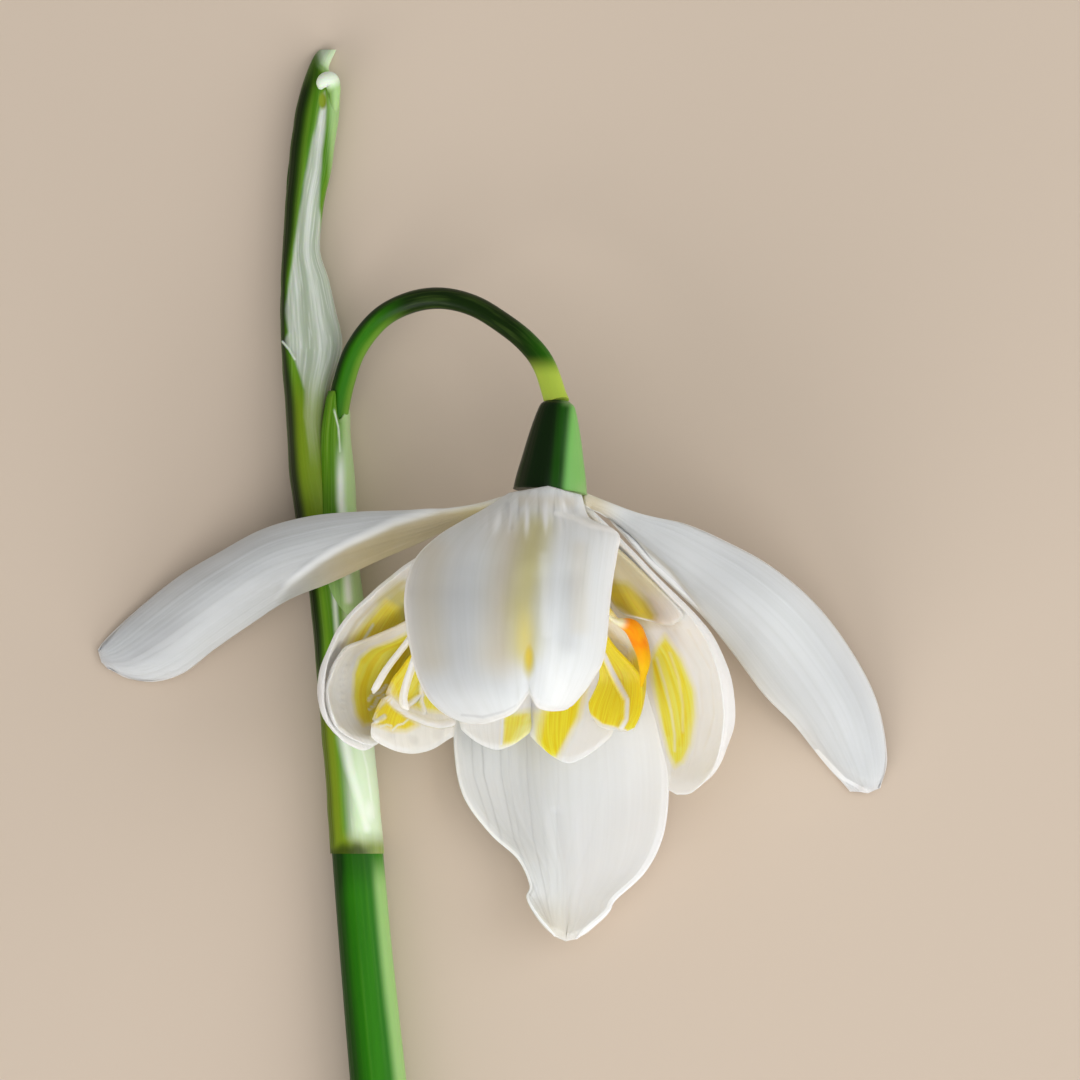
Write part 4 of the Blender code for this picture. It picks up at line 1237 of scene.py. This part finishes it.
segment(
    "extra_fan", 90, 70,
    scoop(
        [
            (1.4, 1.05, 290, 302), (3.2, 2.6, 293, 303), (6.2, 4.9, 295, 304), (9.0, 7.9, 296, 307),
            (11.0, 9.8, 296, 313), (13.0, 10.0, 292, 315), (14.4, 9.6, 293, 314),
        ],
        [0.8, 0.92, 0.97, 0.985, 0.99, 1.0, 0.97],
        relief=lambda t, s, p: -0.3 * line(FAN_VEIN, 0.5, 1.0)(p),
    ),
    painted(
        gold=lambda t, s, p: 1 - line([(2.1, -13.3), (3.15, -14.1), (4.5, -14.4)], 0.4, 0.8)(p),
        yellow=strongest(
            line([(3.0, -11.6), (3.5, -13.6)], 0.4, 1.0, 0.8),
            patch([
                (4.0, -9.5), (4.1, -10.9), (4.9, -12.3), (4.95, -14.4), (6.2, -14.4), (6.2, -9.5),
            ], 0.2, 0.75),
        ),
        beige=line([(2.1, -13.3), (3.15, -14.1), (4.5, -14.4)], 0.4, 1.0, 0.5),
        pale=line(FAN_VEIN, 0.36, 0.8),
    ),
)
segment(
    "extra_right_narrow", 90, 40,
    scoop([
        (1.0, 1.1, 312, 324), (3.5, 2.8, 310, 319), (6.3, 5.4, 307, 316), (8.3, 8.0, 303, 314),
        (9.7, 10.0, 302, 312.5), (11.5, 10.8, 302, 311.5), (13.3, 10.8, 307, 311),
        (14.4, 10.6, 308.5, 310.5),
    ]),
    painted(
        gold=lambda t, s, p: 0.9 * smooth(-13.6, -12.6, p[1]),
        yellow=lambda t, s, p: 0.6 * smooth(-13.6, -12.6, p[1]),
        # Painted light: a pale patch lightens its shaded top, with bright crinkle lines.
        pale=strongest(
            patch([(2.8, -7.4), (5.2, -7.4), (5.1, -9.6), (4.4, -10.4), (2.8, -10.0)], 0.5, 0.7),
            line([(3.4, -9.4), (4.1, -9.0), (4.7, -9.2)], 0.25, 0.9, 0.9),
            line([(3.6, -9.9), (4.4, -9.6)], 0.2, 0.9, 0.8),
        ),
    ),
)
segment(
    "extra_right_short", 110, 100,
    scoop(
        [
            (1.0, 1.2, 332, 352), (2.5, 3.2, 322, 356), (4.0, 5.1, 312, 359), (6.0, 7.4, 305, 360),
            (7.2, 8.7, 306, 356), (8.0, 9.2, 318, 345),
        ],
        relief=lambda t, s, p: 0.14 * math.sin(9 * s) * smooth(0.8, 1.0, t),
    ),
    painted(
        olive=patch([
            (3.3, -5.2), (4.7, -5.35), (5.9, -6.4), (6.45, -7.3), (6.4, -7.75), (5.6, -7.8), (4.95, -7.5),
            (4.2, -7.0), (3.3, -6.7),
        ], 0.3),
        beige=lambda t, s, p: 0.5 * smooth(-7.4, -5.4, p[1]),
        yellow=lambda t, s, p: 0.22 * smooth(-7.2, -5.0, p[1]),
        gold=patch([
            (3.5, -5.7), (4.8, -5.8), (5.9, -6.8), (6.2, -7.5), (5.2, -7.5), (4.2, -6.8), (3.5, -6.5),
        ], 0.4, 0.6),
        pale=lambda t, s, p: smooth(0.9, 0.96, t),
    ),
)


def front_mark(t, s, p):
    """The yellow middle of the two segments behind the front tepal."""
    return smooth(1.0, 0.5, abs(s)) * smooth(0.4, 0.7, t) * smooth(1.0, 0.85, t)


segment(
    "extra_front_right", 60, 50,
    scoop([
        (0.9, 1.1, 66, 80), (3.0, 2.7, 62, 84), (6.0, 5.6, 60, 85), (9.0, 7.0, 60, 86), (11.5, 7.2, 62, 84),
        (12.8, 6.9, 66, 80),
    ]),
    painted(yellow=front_mark),
)
segment(
    "extra_front_left", 60, 50,
    scoop([
        (0.9, 1.0, 112, 126), (3.0, 3.6, 104, 130), (6.0, 6.7, 100, 130), (9.0, 8.3, 100, 129),
        (11.5, 8.6, 103, 127), (13.0, 8.2, 109, 122),
    ]),
    painted(yellow=front_mark),
)

# Narrow straps that stand in the left scoop, white with grey-yellow middles.
STRAPS = [
    [
        (1.3, 1.05, 180, 193), (3.5, 3.6, 190, 199), (6.5, 6.4, 194, 200), (8.9, 7.9, 196, 201),
        (10.6, 9.1, 197, 202), (12.1, 9.9, 198, 203),
    ],
    [
        (1.6, 1.1, 206, 220), (4.0, 3.8, 206, 214), (7.0, 6.3, 205, 211), (10.1, 7.9, 206, 211),
        (12.3, 8.5, 207, 212), (13.1, 8.2, 208, 213),
    ],
    [
        (1.3, 1.05, 150, 163), (4.0, 3.2, 170, 180), (8.0, 6.3, 180, 188), (11.6, 7.5, 190, 194),
        (13.0, 7.4, 192, 196),
    ],
]
for number, stations in enumerate(STRAPS, start=1):
    segment(
        f"extra_strap_{number}", 90, 16,
        scoop(stations, [0.97, 1.0, 0.97], relief=lambda t, s, p: -0.12 * (1 - s * s)),
        painted(
            olive=lambda t, s, p: 0.45 * smooth(0.7, 0.1, abs(s)) * smooth(0.9, 0.7, t),
            pale=lambda t, s, p: 0.8 * max(smooth(0.5, 0.9, abs(s)), smooth(0.8, 0.92, t)),
        ),
    )


# ---- The stamens and the style -----------------------------------------------------------
# Six stamens, each a short white filament under a long orange anther, round one style.
anther_orange, tree, shader = skin(
    "orange anther skin", 0.5, Subsurface_Weight=0.15, Subsurface_Scale=0.3 * MM,
    Subsurface_Radius=(1.0, 0.9, 0.1), Specular_IOR_Level=0.15,
)
tint = ramp(tree, fibres(tree, 8.0, 6.0), [(0.3, "#FF9000"), (0.7, "#FFAC00")])
tint = tinted(tree, tint, yellow="#FFCB14", pale="#F2EDC8")
cover(tree, shader, tint, fibres(tree, 12.0, 20.0), 0.05, 0.5)
STAMEN_RADII = [0.14, 0.15, 0.34, 0.5, 0.44, 0.1]
# A station is its depth and radius in the flower's cup, and how far it leans round it.
CLOSE_STAMEN = [(1.9, 0.6, 0), (3.6, 1.1, 0), (5.3, 1.8, 0), (7.0, 2.4, 0), (8.7, 2.9, 0), (10.3, 3.2, 0)]
# One stamen leans out past the front tepal, so that its anther shows.
SPLAYED_STAMEN = [
    (1.9, 0.6, 0), (4.5, 2.6, 0), (6.6, 3.9, 0), (7.6, 5.0, -3), (8.1, 6.5, -6), (8.9, 7.4, -10),
    (9.8, 8.1, -13), (10.6, 8.45, -15), (11.7, 8.4, -15),
]
SPLAYED_RADII = [0.12, 0.12, 0.12, 0.16, 0.54, 0.56, 0.48, 0.36, 0.1]
STAMEN_TURN = 340
STAMEN_MASKS = {"pale": lambda t, s, p: smooth(0.3, 0.2, t), "yellow": lambda t, s, p: smooth(0.55, 0.9, t)}
SPLAYED_MASKS = {
    "pale": lambda t, s, p: smooth(0.46, 0.42, t),
    "yellow": lambda t, s, p: smooth(0.6, 0.88, t),
}
for number in range(6):
    profile = CLOSE_STAMEN if number else SPLAYED_STAMEN
    radii = STAMEN_RADII if number else SPLAYED_RADII
    masks = STAMEN_MASKS if number else SPLAYED_MASKS
    turn = STAMEN_TURN + 60 * number
    route = [on_cup(depth, radius, turn + lean) for depth, radius, lean in profile]
    made = stalk(
        f"fine_stamen_{number + 1}", route, radii, 24, 80,
        lambda t, turn: -0.06 * math.cos(2 * turn),
        masks,
    )
    settle(made, f"stamen_{number + 1}", anther_orange)
STYLE_RADII = [0.2, 0.22, 0.2, 0.16]
style_route = [on_cup(depth, 0.0, 0) for depth in (1.85, 4.0, 7.0, 9.5)]
style = stalk("fine_style", style_route, STYLE_RADII, 16, 30, lambda t, turn: 0.0, painted())
settle(style, "style", inner_white)


# ---- Table, light and camera ------------------------------------------------------------
# A plain pale table top. A window on the right lights the flower, a white card low on each
# side throws light into the open scoops, and a wide white ceiling fills the shadows.
floor_paper, tree, shader = skin("plain pale table top", 0.85)
shader.inputs["Base Color"].default_value = colour("#CDBBA8")
TABLE_SIZE = 6.0
bpy.ops.object.select_all(action="DESELECT")
bpy.ops.mesh.primitive_plane_add(size=TABLE_SIZE, location=(0, 0, cad_box[0][2]))
floor = bpy.context.object
floor.name = "table_top"
floor.data.materials.append(floor_paper)


def softbox(name, location, size, power, tint="#FFFFFF"):
    """A square soft light that points at the flower."""
    light = bpy.data.lights.new(name, "AREA")
    light.shape = "RECTANGLE"
    light.size, light.size_y = size, size
    light.energy = power
    light.color = colour(tint)[:3]
    holder = bpy.data.objects.new(name, light)
    bpy.context.scene.collection.objects.link(holder)
    holder.location = location
    holder.rotation_euler = (-Vector(location)).to_track_quat("-Z", "Y").to_euler()
    holder.visible_camera = False


CARD, CEILING = 0.4, 1.0
softbox("window", (0.4, 0.08, 0.28), CARD, 0.9, "#FBFDFF")
softbox("left_card", (-0.28, -0.36, 0.24), CARD, 1.3)
softbox("right_card", (0.32, -0.36, 0.2), CARD, 1.15)
softbox("ceiling", (0.1, -0.05, 0.95), CEILING, 3.0)
world = bpy.data.worlds.new("room")
world.use_nodes = True
world.node_tree.nodes["Background"].inputs["Color"].default_value = colour("#E8ECF0")
world.node_tree.nodes["Background"].inputs["Strength"].default_value = 0.36
bpy.context.scene.world = world
bpy.context.scene.view_settings.view_transform = "Standard"

VIEW_DISTANCE = 3000.0
VIEW_WIDTH = 64.8
VIEW_CENTRE = (-0.6, -2.88)
camera_data = bpy.data.cameras.new("camera")
SENSOR_WIDTH = 36.0
camera_data.sensor_width = SENSOR_WIDTH
camera_data.lens = SENSOR_WIDTH * VIEW_DISTANCE / VIEW_WIDTH
camera = bpy.data.objects.new("camera", camera_data)
bpy.context.scene.collection.objects.link(camera)
camera.location = place((*VIEW_CENTRE, VIEW_DISTANCE))
bpy.context.scene.camera = camera
